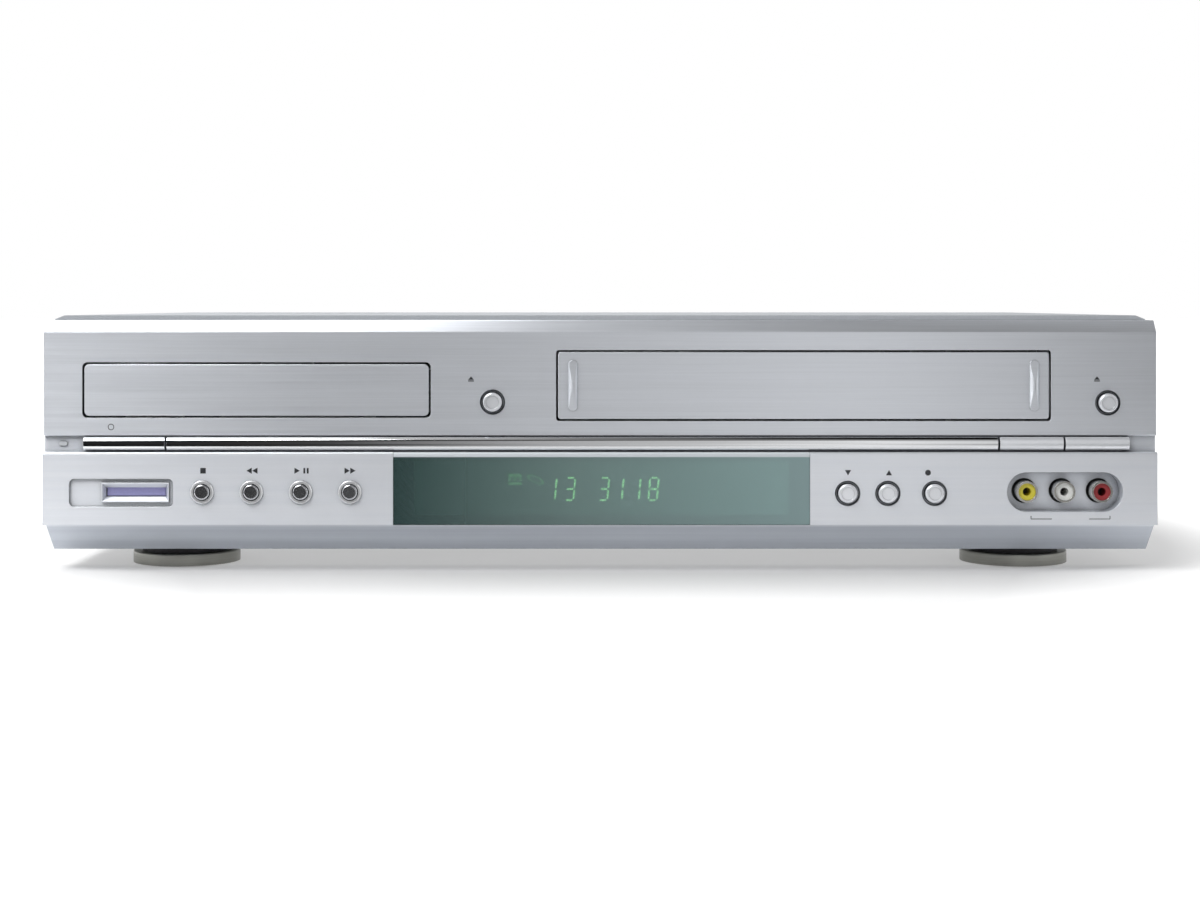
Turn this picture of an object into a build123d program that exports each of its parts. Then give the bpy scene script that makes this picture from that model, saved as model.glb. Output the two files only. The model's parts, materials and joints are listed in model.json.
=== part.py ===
from build123d import *
import math
import os

# Disc player and cassette recorder in one case. Millimetres, X to the right seen from the front,
# Y to the back, Z up from the floor, origin under the middle of the case.
# Distances called "setback" are measured back from the front face of the lower panel.

# The case as a whole
overall_width = 430.0
overall_depth = 265.0
overall_height = 99.0
cap_stand = 1.6
barrel_stand = 8.0
front_y = -overall_depth / 2 + cap_stand
rear_y = overall_depth / 2 - barrel_stand
left_end = -overall_width / 2
right_end = overall_width / 2
rear_setback = rear_y - front_y

# Clearances
seat_gap = 0.1
panel_gap = 0.7
slide_gap = 0.3
running_gap = 0.05

# Feet
foot_inset = 48.8
foot_x = right_end - foot_inset
foot_setback = 35.0
foot_radius = 21.15
foot_height = 7.6
foot_core_radius = 17.5
foot_ring_low = 0.4
foot_ring_height = 5.1
foot_ring_wall = 1.2
foot_edge = 0.6

# Sheet metal
cover_inset = 2.0
cover_half = right_end - cover_inset
cover_wall = 0.8
cover_low = 9.4
shoulder_width = 4.5
shoulder_height = 1.8
cover_bend = 2.0
cover_setback = 8.0
chassis_wall = 1.0
chassis_flange = 16.0
chassis_rear_flange = 10.0
rear_wall = 1.0
board_standoff = 6.0
standoff_radius = 3.5
floor_z = foot_height + chassis_wall
chassis_half = cover_half - cover_wall - seat_gap

# Vents
vent_width = 2.6
vent_pitch = 6.5
side_vent_height = 26.0
side_vent_count = 14
side_vent_low = 52.0
side_vent_setback = 140.0
top_vent_length = 34.0
top_vent_count = 12
top_vent_inset = 37.0
top_vent_x = left_end + top_vent_inset
top_vent_setback = 168.0
floor_vent_length = 36.0
floor_vent_count = 10
floor_vent_inset = 55.0
floor_vent_x = left_end + floor_vent_inset
floor_vent_setback = 120.0

# Front fascia, a moulded shell open to the back
fascia_wall = 2.5
fascia_depth = 16.0
chamfer_setback = 12.0
lower_panel_low = 18.2
band_low = 46.3
band_high = 52.5
band_setback = 3.6
upper_panel_setback = 2.0
bevel_low = 92.6
bevel_high = 97.2
bevel_setback = 6.0
panel_edge = 1.0
upper_edge = 0.5
bevel_edge = 0.8
face_plate_depth = 6.0
return_inset = 1.4
tongue_width = 24.0
tongue_reach = 8.0
tongue_count = 4
boss_radius = 3.0
boss_overlap = 1.0
low_boss_inset = 2.0
low_boss_drop = 9.0
window_boss_gap = 5.5
window_boss_rise = 3.5

# Bar of chrome trim and keys in the band between the panels
bar_height = 5.2
bar_z = (band_low + band_high) / 2
bar_front = 0.3
bar_gap = 0.8
power_inset = 15.6
power_left = left_end + power_inset
trim_left_inset = 47.7
trim_left = left_end + trim_left_inset
trim_right_inset = 61.4
trim_right = right_end - trim_right_inset
select_middle_inset = 35.7
select_middle = right_end - select_middle_inset
select_inset = 10.6
select_right = right_end - select_inset
key_window_width = 12.0
key_window_height = 3.4

# Disc drawer front and cassette door; the room beside them is shared by the gap between and the right end
drawer_inset = 15.6
drawer_width = 133.3
drawer_x = left_end + drawer_inset + drawer_width / 2
drawer_low = 60.1
drawer_high = 80.2
drawer_front_wall = 2.5
drawer_corner = 2.0
door_edge = 0.4
cassette_door_width = 191.3
spare_width = overall_width - drawer_inset - drawer_width - cassette_door_width
middle_share = 0.5468
cassette_left = left_end + drawer_inset + drawer_width + middle_share * spare_width
cassette_x = cassette_left + cassette_door_width / 2
cassette_door_low = 58.2
cassette_door_high = 85.6
cassette_door_wall = 2.0
cassette_door_corner = 1.2
pad_width = 3.6
pad_height = 19.6
pad_from_edge = 5.8
pad_stand = 1.2
pad_round = 2.2
pad_end_drop = 0.9
door_pin_radius = 1.2
door_pin_length = 3.0
door_axis_setback = 6.2
door_axis_z = 88.2
door_lug_radius = 1.4
door_lug_width = 4.0
door_lug_root = 4.0
door_ear_wall = 2.6

# Round keys
key_travel = 0.6
flange_wall = 1.0
flange_lip = 1.0
stem_radius = 2.0
left_key_inset = 61.6
left_key_x = left_end + left_key_inset
left_key_count = 4
left_key_pitch = 19.0
left_key_z = 30.9
left_cap_radius = 3.0
ring_outer_radius = 4.5
ring_stand = 0.9
ring_sleeve_radius = 4.0
ring_edge = 0.4
channel_down_inset = 119.5
channel_down_x = right_end - channel_down_inset
channel_up_inset = 104.0
channel_up_x = right_end - channel_up_inset
record_inset = 86.0
record_x = right_end - record_inset
right_key_z = 30.4
right_cap_radius = 3.7
dish_radius = 4.9
dish_floor_radius = 4.4
dish_depth = 1.2
cap_rim = 1.2
cap_hollow = 0.25
open_close_x = (drawer_x + drawer_width / 2 + cassette_left) / 2
open_close_z = 65.5
eject_inset = 18.7
eject_x = right_end - eject_inset
eject_z = 65.2
switch_width = 6.0
switch_height = 3.3
plunger_radius = 1.75
plunger_height = 1.0

# Boards behind the fascia
board_wall = 1.6
front_board_inset = 6.0
front_board_half = right_end - front_board_inset
front_board_low = 14.0
front_board_high = 51.4
key_board_width = 18.0
key_board_low = 56.0
key_board_high = 76.0

# Display
window_key_gap = 16.6
window_left = left_key_x + (left_key_count - 1) * left_key_pitch + window_key_gap
window_right_gap = 14.5
window_right = channel_down_x - window_right_gap
window_wall = 1.2
window_opening_low = 22.0
window_opening_high = 43.0
window_opening_inset = 8.0
tube_setback = 4.0
tube_depth = 6.0
tube_inset = 11.0
tube_leg = 5.0

# Card slot
card_recess_inset = 10.3
card_recess_left = left_end + card_recess_inset
card_recess_width = 40.1
card_recess_right = card_recess_left + card_recess_width
card_recess_low = 25.2
card_recess_high = 36.0
card_recess_depth = 1.0
card_slot_width = 23.1
card_slot_edge = 3.1
card_slot_right = card_recess_right - card_slot_edge
card_slot_left = card_slot_right - card_slot_width
card_slot_low = 29.0
card_slot_high = 32.5
card_frame_height = 2.0
card_frame_side = 1.5
card_frame_flat = 0.4
card_frame_setback = 0.1
card_funnel_depth = 2.0
card_pin_room = 1.2
card_room_high = card_slot_high + card_pin_room
card_socket_wall = 1.5
card_socket_length = 46.0
card_door_wall = 0.8
card_door_setback = 2.4
card_door_gap = 0.3
card_pin_radius = 0.6

# Standby lamp, a light guide in the band
lamp_inset = 7.2
lamp_x = left_end + lamp_inset
lamp_width = 3.4
lamp_height = 1.7
lamp_stand = 0.4
lamp_flange = 0.8

# Sockets of the phono kind, three in front and three columns of three behind
jack_z = 30.9
jack_x = select_middle
jack_pitch = 14.45
jack_count = 3
jack_recess_width = 44.8
jack_recess_height = 15.3
jack_floor = 7.0
jack_front = 0.5
jack_hole_radius = 4.8
barrel_radius = 4.15
barrel_wall = 0.8
neck_radius = 3.9
insert_hole_radius = 1.6
insert_inset = 0.8
jack_block_height = 13.0
rear_jack_inset = 47.0
rear_jack_x = right_end - rear_jack_inset
rear_jack_pitch = 18.0
rear_jack_block_depth = 13.0

# Mains inlet and aerial sockets
mains_inset = 39.0
inlet_x = left_end + mains_inset
inlet_z = 30.0
inlet_width = 22.0
inlet_height = 14.0
inlet_flange = 2.5
inlet_flange_wall = 1.5
inlet_recess_width = 17.6
inlet_recess_height = 9.4
inlet_depth = 15.0
inlet_pin_radius = 1.2
inlet_pin_pitch = 8.6
inlet_wall = 2.0
tuner_z = 50.0
tuner_width = 24.0
tuner_height = 46.0
tuner_depth = 48.0
tuner_leg_wall = 1.0
tuner_leg_depth = 6.0
tuner_deck_gap = 2.25
aerial_radius = 4.75
aerial_bore = 1.0
aerial_neck_radius = 4.4
aerial_pitch = 22.0
aerial_length = 7.6

# Disc drawer and its loader
tray_inset = 0.75
tray_half = drawer_width / 2 - tray_inset
tray_low = 62.6
tray_wall = 4.2
tray_rear = 172.0
tray_travel = 135.0
disc_setback = 79.0
disc_recess_radius = 60.8
disc_recess_depth = 1.6
small_recess_radius = 40.6
small_recess_depth = 1.2
tray_slot_half = 18.0
frame_low = 50.0
frame_high = 76.0
frame_front = 19.0
frame_rear = 205.0
frame_wall = 3.5
ledge_width = 4.0
ledge_height = 2.4
frame_leg_radius = 3.5
frame_leg_setback = 10.0
frame_leg_rise = 6.0
frame_leg_overlap = 1.0
pivot_ear_wall = 2.0
front_plate_depth = 30.0
front_plate_wall = 3.0

# Rack and pinion, stub teeth
gear_module = 1.5
gear_teeth = 14
pressure_angle = math.radians(20.0)
addendum = 0.8 * gear_module
dedendum = 1.0 * gear_module
backlash = 0.2
rack_height = 2.5
rack_back = 3.0
rack_spare_pitches = 5
pitch_radius = gear_module * gear_teeth / 2
gear_setback = 33.0
gear_inset = 19.9
gear_from_middle = tray_half - gear_inset
gear_axle_radius = 1.5
pulley_radius = 12.0
pulley_height = 3.0
pulley_groove = 0.8
belt_wall = 1.0
belt_height = 1.2
motor_from_middle = 12.0
motor_radius = 12.0
motor_length = 18.0
motor_pulley_radius = 3.5
motor_shaft_radius = 1.0

# Optical drive under the drawer
traverse_half = 27.0
traverse_front = 58.0
traverse_wall = 3.0
traverse_low = 53.0
traverse_pivot_setback = 176.0
traverse_pin_radius = 2.0
traverse_pin_length = 4.0
spindle_motor_radius = 12.0
spindle_motor_height = 5.0
platter_radius = 14.0
platter_low = 61.6
platter_high = 66.2
hub_radius = 7.3
hub_height = 2.4
spindle_radius = 1.25
rail_radius = 1.5
rail_from_middle = 16.0
rail_z = 59.5
rail_front = 96.0
rail_rear = 164.0
rail_lug_wall = 4.0
rail_lug_half = 3.0
rail_lug_rise = 1.0
lens_window_gap = 4.0
lens_window_inset = 5.0
pickup_front = 101.0
pickup_depth = 24.0
pickup_half = 21.0
pickup_low = 57.2
pickup_high = 62.0
lens_radius = 3.6
lens_height = 1.6
pickup_travel = 34.0
clamp_radius = 13.5
clamp_low = 70.0
clamp_neck_radius = 8.0
clamp_top_radius = 11.0
clamp_lift = 0.4
clamp_wall = 1.4
bridge_wall = 1.2
bridge_depth = 34.0

# Cassette deck
deck_low = 33.0
deck_wall = 1.2
deck_front = 28.0
deck_rear_gap = 8.4
deck_rear = rear_setback - deck_rear_gap
deck_half = 104.4
deck_leg_length = 24.0
deck_top = deck_low + deck_wall
tape_slot_length = 50.0
tape_slot_width = 8.0
tape_slot_gap = 9.0
tuner_x = cassette_x - deck_half - tuner_deck_gap - tuner_width / 2
side_wall = 1.2
side_half = 99.7
side_front = 38.0
side_rear = 190.0
side_high = 94.0
brace_depth = 12.0
cassette_width = 188.0
cassette_height = 25.4
holder_front = 39.0
holder_depth = 92.0
holder_wall = 1.0
holder_floor_z = 58.6
holder_ledge = 12.0
holder_play = 0.5
holder_window_inset = 14.0
lowering = 22.0
guide_pin_radius = 1.5
slider_pin_z = 89.5
slider_front = 58.0
slider_depth = 56.0
slider_low = 54.0
slider_high = 92.0
slider_bar_depth = 12.0
holder_pin_z = 80.0
pin_inset = 9.0

# Head drum, capstan and reels
drum_radius = 31.0
drum_from_rear = 43.4
drum_setback = rear_setback - drum_from_rear
cassette_drum_gap = 2.0
carriage_travel = drum_setback - drum_radius - cassette_drum_gap - holder_front - holder_depth
drum_tilt = 6.0
lower_drum_height = 19.0
upper_drum_height = 16.0
drum_joint_gap = 0.3
drum_shaft_radius = 3.0
drum_rim = 3.6
drum_dish_depth = 5.0
drum_hub_radius = 9.0
capstan_from_middle = 58.0
capstan_from_drum = 24.0
capstan_setback = drum_setback - capstan_from_drum
capstan_radius = 1.5
capstan_height = 30.0
flywheel_radius = 24.0
flywheel_height = 6.0
flywheel_drop = 2.0
flywheel_rim = 4.0
flywheel_web = 3.0
bearing_radius = 5.0
bearing_height = 8.0
reel_from_middle = 46.25
reel_setback = 122.0
reel_radius = 13.0
reel_height = 3.0
reel_lift = 1.0
spindle_top_radius = 4.0
spindle_top_height = 13.0
reel_pin_radius = 1.5
reel_rib_count = 3
reel_rib_reach = 1.2
reel_rib_wall = 1.4
reel_rib_drop = 2.0

# Boards on the chassis
main_board_left_gap = 5.75
main_board_left = cassette_x - deck_half + main_board_left_gap
main_board_right_gap = 7.05
main_board_right = cassette_x + deck_half - main_board_right_gap
main_board_front = 34.0
main_board_rear_gap = 19.4
main_board_rear = rear_setback - main_board_rear_gap
power_board_inset = 15.0
power_board_left = left_end + power_board_inset
power_board_tuner_gap = 18.0
power_board_right = tuner_x - tuner_width / 2 - power_board_tuner_gap
power_board_front = 92.0
power_board_rear_gap = 23.4
power_board_rear = rear_setback - power_board_rear_gap
board_inset = 8.0
chip_half = 12.0
chip_height = 2.0
chip_count = 3
chip_pitch = 52.0
chip_setback = 76.0
small_capacitor_radius = 3.0
small_capacitor_height = 8.0
small_capacitor_count = 6
small_capacitor_pitch = 14.0
small_capacitor_inset = 12.0
transformer_width = 34.0
transformer_depth = 30.0
transformer_height = 26.0
transformer_from_rear = 60.0
winding_half = 9.0
winding_reach = 5.0
capacitor_radius = 8.0
capacitor_height = 28.0
capacitor_count = 3
capacitor_pitch = 22.0
capacitor_inset = 30.0
choke_radius = 9.0
choke_height = 14.0
choke_inset = 40.0
choke_from_rear = 35.0

# Screws of the case
screw_radius = 1.5
screw_length = 5.0
screw_head_radius = 3.2
screw_head_height = 1.7
side_screw_setbacks = (70.0, 215.0)
side_screw_z = 17.0
rear_screw_inset = 11.0
rear_screw_x = (-120.0, 0.0, 130.0, right_end - rear_screw_inset)
rear_screw_z = 14.0


# ---------------------------------------------------------------- drawing helpers


def back(setback):
    """The Y of a point that lies this far behind the lower panel's face."""
    return front_y + setback


def block(x_low, x_high, y_low, y_high, z_low, z_high):
    """A box between two corners."""
    size = Box(x_high - x_low, y_high - y_low, z_high - z_low)
    return Pos((x_low + x_high) / 2, (y_low + y_high) / 2, (z_low + z_high) / 2) * size


def along_x(sketch, x_low, x_high):
    """A sketch drawn in Y and Z, made solid from x_low to x_high."""
    return Pos(x_low, 0, 0) * extrude(Plane.YZ * sketch, x_high - x_low)


def along_y(sketch, y_low, y_high):
    """A sketch drawn in X and Z, made solid from y_low to y_high."""
    return Pos(0, y_high, 0) * extrude(Plane.XZ * sketch, y_high - y_low)


def along_z(sketch, z_low, z_high):
    """A sketch drawn in X and Y, made solid from z_low to z_high."""
    return Pos(0, 0, z_low) * extrude(sketch, z_high - z_low)


def rod_x(y, z, radius, x_low, x_high):
    return along_x(Pos(y, z) * Circle(radius), x_low, x_high)


def rod_y(x, z, radius, y_low, y_high):
    return along_y(Pos(x, z) * Circle(radius), y_low, y_high)


def rod_z(x, y, radius, z_low, z_high):
    return along_z(Pos(x, y) * Circle(radius), z_low, z_high)


def outline(points):
    """A flat face inside straight lines through the points."""
    return make_face(Polyline(*points, close=True))


def joined(solids):
    """One solid out of several that touch."""
    whole = solids[0]
    for solid in solids[1:]:
        whole = whole + solid
    return whole


def without(solid, cuts):
    """The solid less every one of the cuts."""
    return solid - list(cuts)


def fan(count, pitch, middle):
    """Places in a row about the middle."""
    return [middle + (i - (count - 1) / 2) * pitch for i in range(count)]


# ---------------------------------------------------------------- places that several pieces share


def left_key_places():
    names = ("stop_button", "rewind_button", "play_button", "forward_button")[:left_key_count]
    return {name: (left_key_x + i * left_key_pitch, left_key_z) for i, name in enumerate(names)}


def right_key_places():
    return {
        "channel_down_button": (channel_down_x, right_key_z),
        "channel_up_button": (channel_up_x, right_key_z),
        "record_button": (record_x, right_key_z),
    }


def upper_key_places():
    return {
        "open_close_button": (open_close_x, open_close_z),
        "eject_button": (eject_x, eject_z),
    }


def bar_key_spans():
    """Left and right end of each long key in the band."""
    return {
        "power_button": (power_left, trim_left - bar_gap),
        "dvd_select_button": (trim_right + bar_gap, select_middle - bar_gap / 2),
        "vcr_select_button": (select_middle + bar_gap / 2, select_right),
    }


def switch_places():
    """Every place behind the fascia that has a push switch."""
    places = [*left_key_places().values(), *right_key_places().values()]
    places += upper_key_places().values()
    places += [((left + right) / 2, bar_z) for left, right in bar_key_spans().values()]
    return places


def front_jack_places():
    return [(x, jack_z) for x in fan(jack_count, jack_pitch, jack_x)]


def rear_jack_low():
    """The underside of the rear socket bodies, just clear of the deck."""
    return deck_top + slide_gap


def rear_jack_places(row):
    """The three sockets of one row, 0 at the top."""
    z = rear_jack_low() + (jack_count - 0.5 - row) * rear_jack_pitch
    return [(x, z) for x in fan(jack_count, rear_jack_pitch, rear_jack_x)]


def board_front():
    return back(fascia_depth)


def plunger_front():
    return board_front() - switch_height - plunger_height


def foot_places():
    return [(x, y) for x in (-foot_x, foot_x) for y in (back(foot_setback), rear_y - foot_setback)]


def main_board_corners():
    xs = (main_board_left + board_inset, main_board_right - board_inset)
    ys = (back(main_board_front) + board_inset, back(main_board_rear) - board_inset)
    return [(x, y) for x in xs for y in ys]


def power_board_corners():
    xs = (power_board_left + board_inset, power_board_right - board_inset)
    ys = (back(power_board_front) + board_inset, back(power_board_rear) - board_inset)
    return [(x, y) for x in xs for y in ys]


# ---------------------------------------------------------------- case


def feet():
    solids = []
    for x, y in foot_places():
        solids.append(rod_z(x, y, foot_core_radius, 0, foot_height))
    return solids


def foot_rings():
    """Bright skirts round the feet, each a cup with an open underside."""
    solids = []
    for x, y in foot_places():
        skirt = rod_z(x, y, foot_radius, foot_ring_low, foot_ring_height)
        skirt = fillet(skirt.edges().sort_by(Axis.Z)[-1], foot_edge)
        hollow = rod_z(x, y, foot_radius - foot_ring_wall, 0, foot_ring_height - foot_ring_wall)
        hole = rod_z(x, y, foot_core_radius + seat_gap, 0, foot_height)
        solids.append(skirt - hollow - hole)
    return solids


def side_screw_holes(radius):
    """Cuts for the screws through both sides of the case."""
    return [
        rod_x(back(setback), side_screw_z, radius, -overall_width / 2, overall_width / 2)
        for setback in side_screw_setbacks
    ]


def rear_screw_holes(radius):
    return [rod_y(x, rear_screw_z, radius, rear_y - chassis_flange, rear_y + 1) for x in rear_screw_x]


def bottom_chassis():
    """A steel tray with folded sides, raised bosses for the boards and slots to breathe through."""
    start = back(fascia_depth)
    inner_rear = rear_y - rear_wall
    solid = block(-chassis_half, chassis_half, start, inner_rear, foot_height, floor_z)
    for side in (-1, 1):
        outer = side * chassis_half
        inner = side * (chassis_half - chassis_wall)
        low, high = min(outer, inner), max(outer, inner)
        solid += block(low, high, start, inner_rear, floor_z, floor_z + chassis_flange)
    flange_front = inner_rear - chassis_wall
    solid += block(-chassis_half, chassis_half, flange_front, inner_rear, floor_z, floor_z + chassis_rear_flange)
    for x, y in main_board_corners() + power_board_corners():
        solid += rod_z(x, y, standoff_radius, floor_z, floor_z + board_standoff)
    cuts = []
    for y in fan(floor_vent_count, vent_pitch, back(floor_vent_setback)):
        x_high = floor_vent_x + floor_vent_length
        cuts.append(block(floor_vent_x, x_high, y - vent_width / 2, y + vent_width / 2, 0, floor_z + 1))
    cuts += side_screw_holes(screw_radius + running_gap)
    cuts += rear_screw_holes(screw_radius + running_gap)
    return without(solid, cuts)


def folded_outline(half, low, high, bend):
    """The case seen from the front, with its sloped shoulders and four rounded bends."""
    shoulder = high - shoulder_height
    face = outline(
        [
            (-half, low),
            (-half, shoulder),
            (-half + shoulder_width, high),
            (half - shoulder_width, high),
            (half, shoulder),
            (half, low),
        ]
    )
    return fillet(face.vertices().sort_by(Axis.Y)[2:], bend)


def cover_outline(inset):
    """The cover seen from the front, smaller by inset all round."""
    return folded_outline(cover_half - inset, cover_low, overall_height - inset, cover_bend - inset)


def top_cover():
    """A folded sheet over the top and both sides, with a hem that sits on the fascia's top flange."""
    hem_y = back(cover_setback)
    sides_y = back(fascia_depth)
    shell = along_y(cover_outline(0), hem_y, rear_y)
    shell -= along_y(cover_outline(cover_wall), hem_y + cover_wall, rear_y + 1)
    below_hem = bevel_high
    shell -= block(-overall_width, overall_width, hem_y - 1, sides_y, 0, below_hem)
    shell -= block(-overall_width, overall_width, hem_y - 1, rear_y + 1, 0, cover_low)
    cuts = []
    half = vent_width / 2
    for y in fan(side_vent_count, vent_pitch, back(side_vent_setback)):
        high = side_vent_low + side_vent_height
        cuts.append(block(-overall_width, overall_width, y - half, y + half, side_vent_low, high))
    for x in fan(top_vent_count, vent_pitch, top_vent_x + top_vent_count * vent_pitch / 2):
        y = back(top_vent_setback)
        low = overall_height - shoulder_height
        cuts.append(block(x - half, x + half, y, y + top_vent_length, low, overall_height + 1))
    cuts += side_screw_holes(screw_radius + seat_gap)
    return without(shell, cuts)


def rear_panel():
    """The plate behind, with openings for the sockets and a flange for the cover."""
    half = chassis_half - seat_gap
    high = overall_height - cover_wall - seat_gap
    front = rear_y - rear_wall
    plate = along_y(folded_outline(half, floor_z, high, cover_bend), front, rear_y)
    flange_half = half - shoulder_width
    plate += block(-flange_half, flange_half, front - chassis_rear_flange, front, high - rear_wall, high)
    cuts = []
    for row in range(jack_count):
        for x, z in rear_jack_places(row):
            cuts.append(rod_y(x, z, neck_radius + seat_gap, front - 1, rear_y + 1))
    for z in fan(2, aerial_pitch, tuner_z):
        cuts.append(rod_y(tuner_x, z, aerial_neck_radius + seat_gap, front - 1, rear_y + 1))
    inlet = Pos(inlet_x, inlet_z) * Rectangle(inlet_width + 2 * seat_gap, inlet_height + 2 * seat_gap)
    cuts.append(along_y(inlet, front - 1, rear_y + 1))
    for x in fan(top_vent_count, vent_pitch, inlet_x + top_vent_length):
        slot = Pos(x, side_vent_low + side_vent_height / 2) * Rectangle(vent_width, side_vent_height)
        cuts.append(along_y(slot, front - 1, rear_y + 1))
    cuts += rear_screw_holes(screw_radius + seat_gap)
    return without(plate, cuts)


def case_screws():
    """Pan-head screws, two on each side and four behind."""
    solids = []
    for setback in side_screw_setbacks:
        y = back(setback)
        for side in (-1, 1):
            seat = side * cover_half
            tip = seat - side * screw_length
            top = seat + side * screw_head_height
            shank = rod_x(y, side_screw_z, screw_radius, min(seat, tip), max(seat, tip))
            head = rod_x(y, side_screw_z, screw_head_radius, min(seat, top), max(seat, top))
            solids.append(shank + head)
    for x in rear_screw_x:
        shank = rod_y(x, rear_screw_z, screw_radius, rear_y - screw_length, rear_y)
        head = rod_y(x, rear_screw_z, screw_head_radius, rear_y, rear_y + screw_head_height)
        solids.append(shank + head)
    return solids


# ---------------------------------------------------------------- fascia


def sharp_profile(depth):
    """The fascia cut through from front to back, Y across and Z up, before its edges are rounded."""
    return outline(
        [
            (back(depth), foot_height),
            (back(chamfer_setback), foot_height),
            (back(0), lower_panel_low),
            (back(0), band_low),
            (back(band_setback), band_low),
            (back(band_setback), band_high),
            (back(upper_panel_setback), band_high),
            (back(upper_panel_setback), bevel_low),
            (back(bevel_setback), bevel_high),
            (back(depth), bevel_high),
        ]
    )


def fascia_profile(depth):
    """The same with a radius on the edges that catch the light."""
    face = sharp_profile(depth)
    edges = (
        (0, band_low, panel_edge),
        (upper_panel_setback, band_high, upper_edge),
        (upper_panel_setback, bevel_low, bevel_edge),
        (bevel_setback, bevel_high, bevel_edge),
    )
    for setback, z, radius in edges:
        corner = Vector(back(setback), z, 0)
        face = fillet(face.vertices().sort_by(lambda v: (Vector(v) - corner).length)[0], radius)
    return face


def fascia_shell():
    """The hollow moulding before anything is cut into its face."""
    half = overall_width / 2
    inner_half = half - return_inset
    body = along_x(fascia_profile(fascia_depth), -inner_half, inner_half)
    plate_back = back(face_plate_depth)
    in_front = block(-half, half, front_y - 1, plate_back, lower_panel_low, overall_height)
    body += along_x(fascia_profile(fascia_depth), -half, half) & in_front
    hollow_half = inner_half - fascia_wall
    hollow = offset(sharp_profile(fascia_depth + fascia_wall), -fascia_wall, kind=Kind.INTERSECTION)
    return body - along_x(hollow, -hollow_half, hollow_half)


def rounded_cut(left, right, low, high, corner, y_low, y_high):
    """A rounded rectangle cut from front to back."""
    shape = Pos((left + right) / 2, (low + high) / 2) * RectangleRounded(right - left, high - low, corner)
    return along_y(shape, y_low, y_high)


def fascia_bosses():
    """Posts that hold the boards off the inside of the fascia."""
    inner = back(fascia_wall)
    edge = front_board_half - low_boss_inset
    edge_z = front_board_high - low_boss_drop
    beside_z = lower_panel_low + window_boss_rise
    places = [(-edge, edge_z), (edge, edge_z)]
    places += [(window_left - window_boss_gap, beside_z), (window_right + window_boss_gap, beside_z)]
    solids = [rod_y(x, z, boss_radius, inner - boss_overlap, board_front()) for x, z in places]
    start = inner + upper_panel_setback - boss_overlap
    for x, _ in upper_key_places().values():
        for z in (key_board_low + boss_radius / 2, key_board_high - boss_radius / 2):
            solids.append(rod_y(x, z, boss_radius / 2, start, board_front()))
    return solids


def door_ears():
    """Two ears behind the upper panel with the bores that the cassette door turns in."""
    solids = []
    half = cassette_door_width / 2 + panel_gap
    low = door_axis_z - door_ear_wall
    high = door_axis_z + door_ear_wall
    inner = back(upper_panel_setback + fascia_wall)
    for side in (-1, 1):
        near = cassette_x + side * half
        far = near + side * door_pin_length
        ear = block(min(near, far), max(near, far), inner, back(door_axis_setback) + door_ear_wall, low, high)
        bore = rod_x(back(door_axis_setback), door_axis_z, door_pin_radius + running_gap, left_end, right_end)
        solids.append(ear - bore)
    return solids


def key_dish(x, z, panel_setback):
    """The flared hollow round a bright key."""
    flare = Rot(90, 0, 0) * Cone(dish_floor_radius, dish_radius, dish_depth)
    return Pos(x, back(panel_setback + dish_depth / 2), z) * flare


def card_opening(side, height):
    """The card slot's outline, grown by this much at the sides and at top and bottom."""
    x = (card_slot_left + card_slot_right) / 2
    z = (card_slot_low + card_slot_high) / 2
    width = card_slot_right - card_slot_left + 2 * side
    return Pos(x, z) * Rectangle(width, card_slot_high - card_slot_low + 2 * height)


def card_frame():
    """A raised frame in the recess, its hole a funnel that leads a card into the slot."""
    mouth = card_opening(card_frame_side - card_frame_flat, card_frame_height - card_frame_flat)
    sections = []
    for shape, setback in ((mouth, card_frame_setback), (card_opening(0, 0), card_funnel_depth)):
        sections.append(Pos(0, back(setback), 0) * (Plane.XZ * shape))
    rim = along_y(
        card_opening(card_frame_side, card_frame_height), back(card_frame_setback), back(card_funnel_depth)
    )
    slot = along_y(card_opening(0, 0), front_y - 1, back(fascia_wall) + 1)
    return rim, [loft(sections), slot]


def lamp_outline(grown):
    return Pos(lamp_x, bar_z) * SlotOverall(lamp_width + 2 * grown, lamp_height + 2 * grown)


def standby_lamp():
    """A light guide from the board to a small window in the band."""
    inner = back(band_setback + fascia_wall)
    flange_front = inner + seat_gap
    guide = along_y(lamp_outline(0), back(band_setback - lamp_stand), board_front())
    return guide + along_y(lamp_outline(lamp_flange), flange_front, flange_front + flange_wall)


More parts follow.
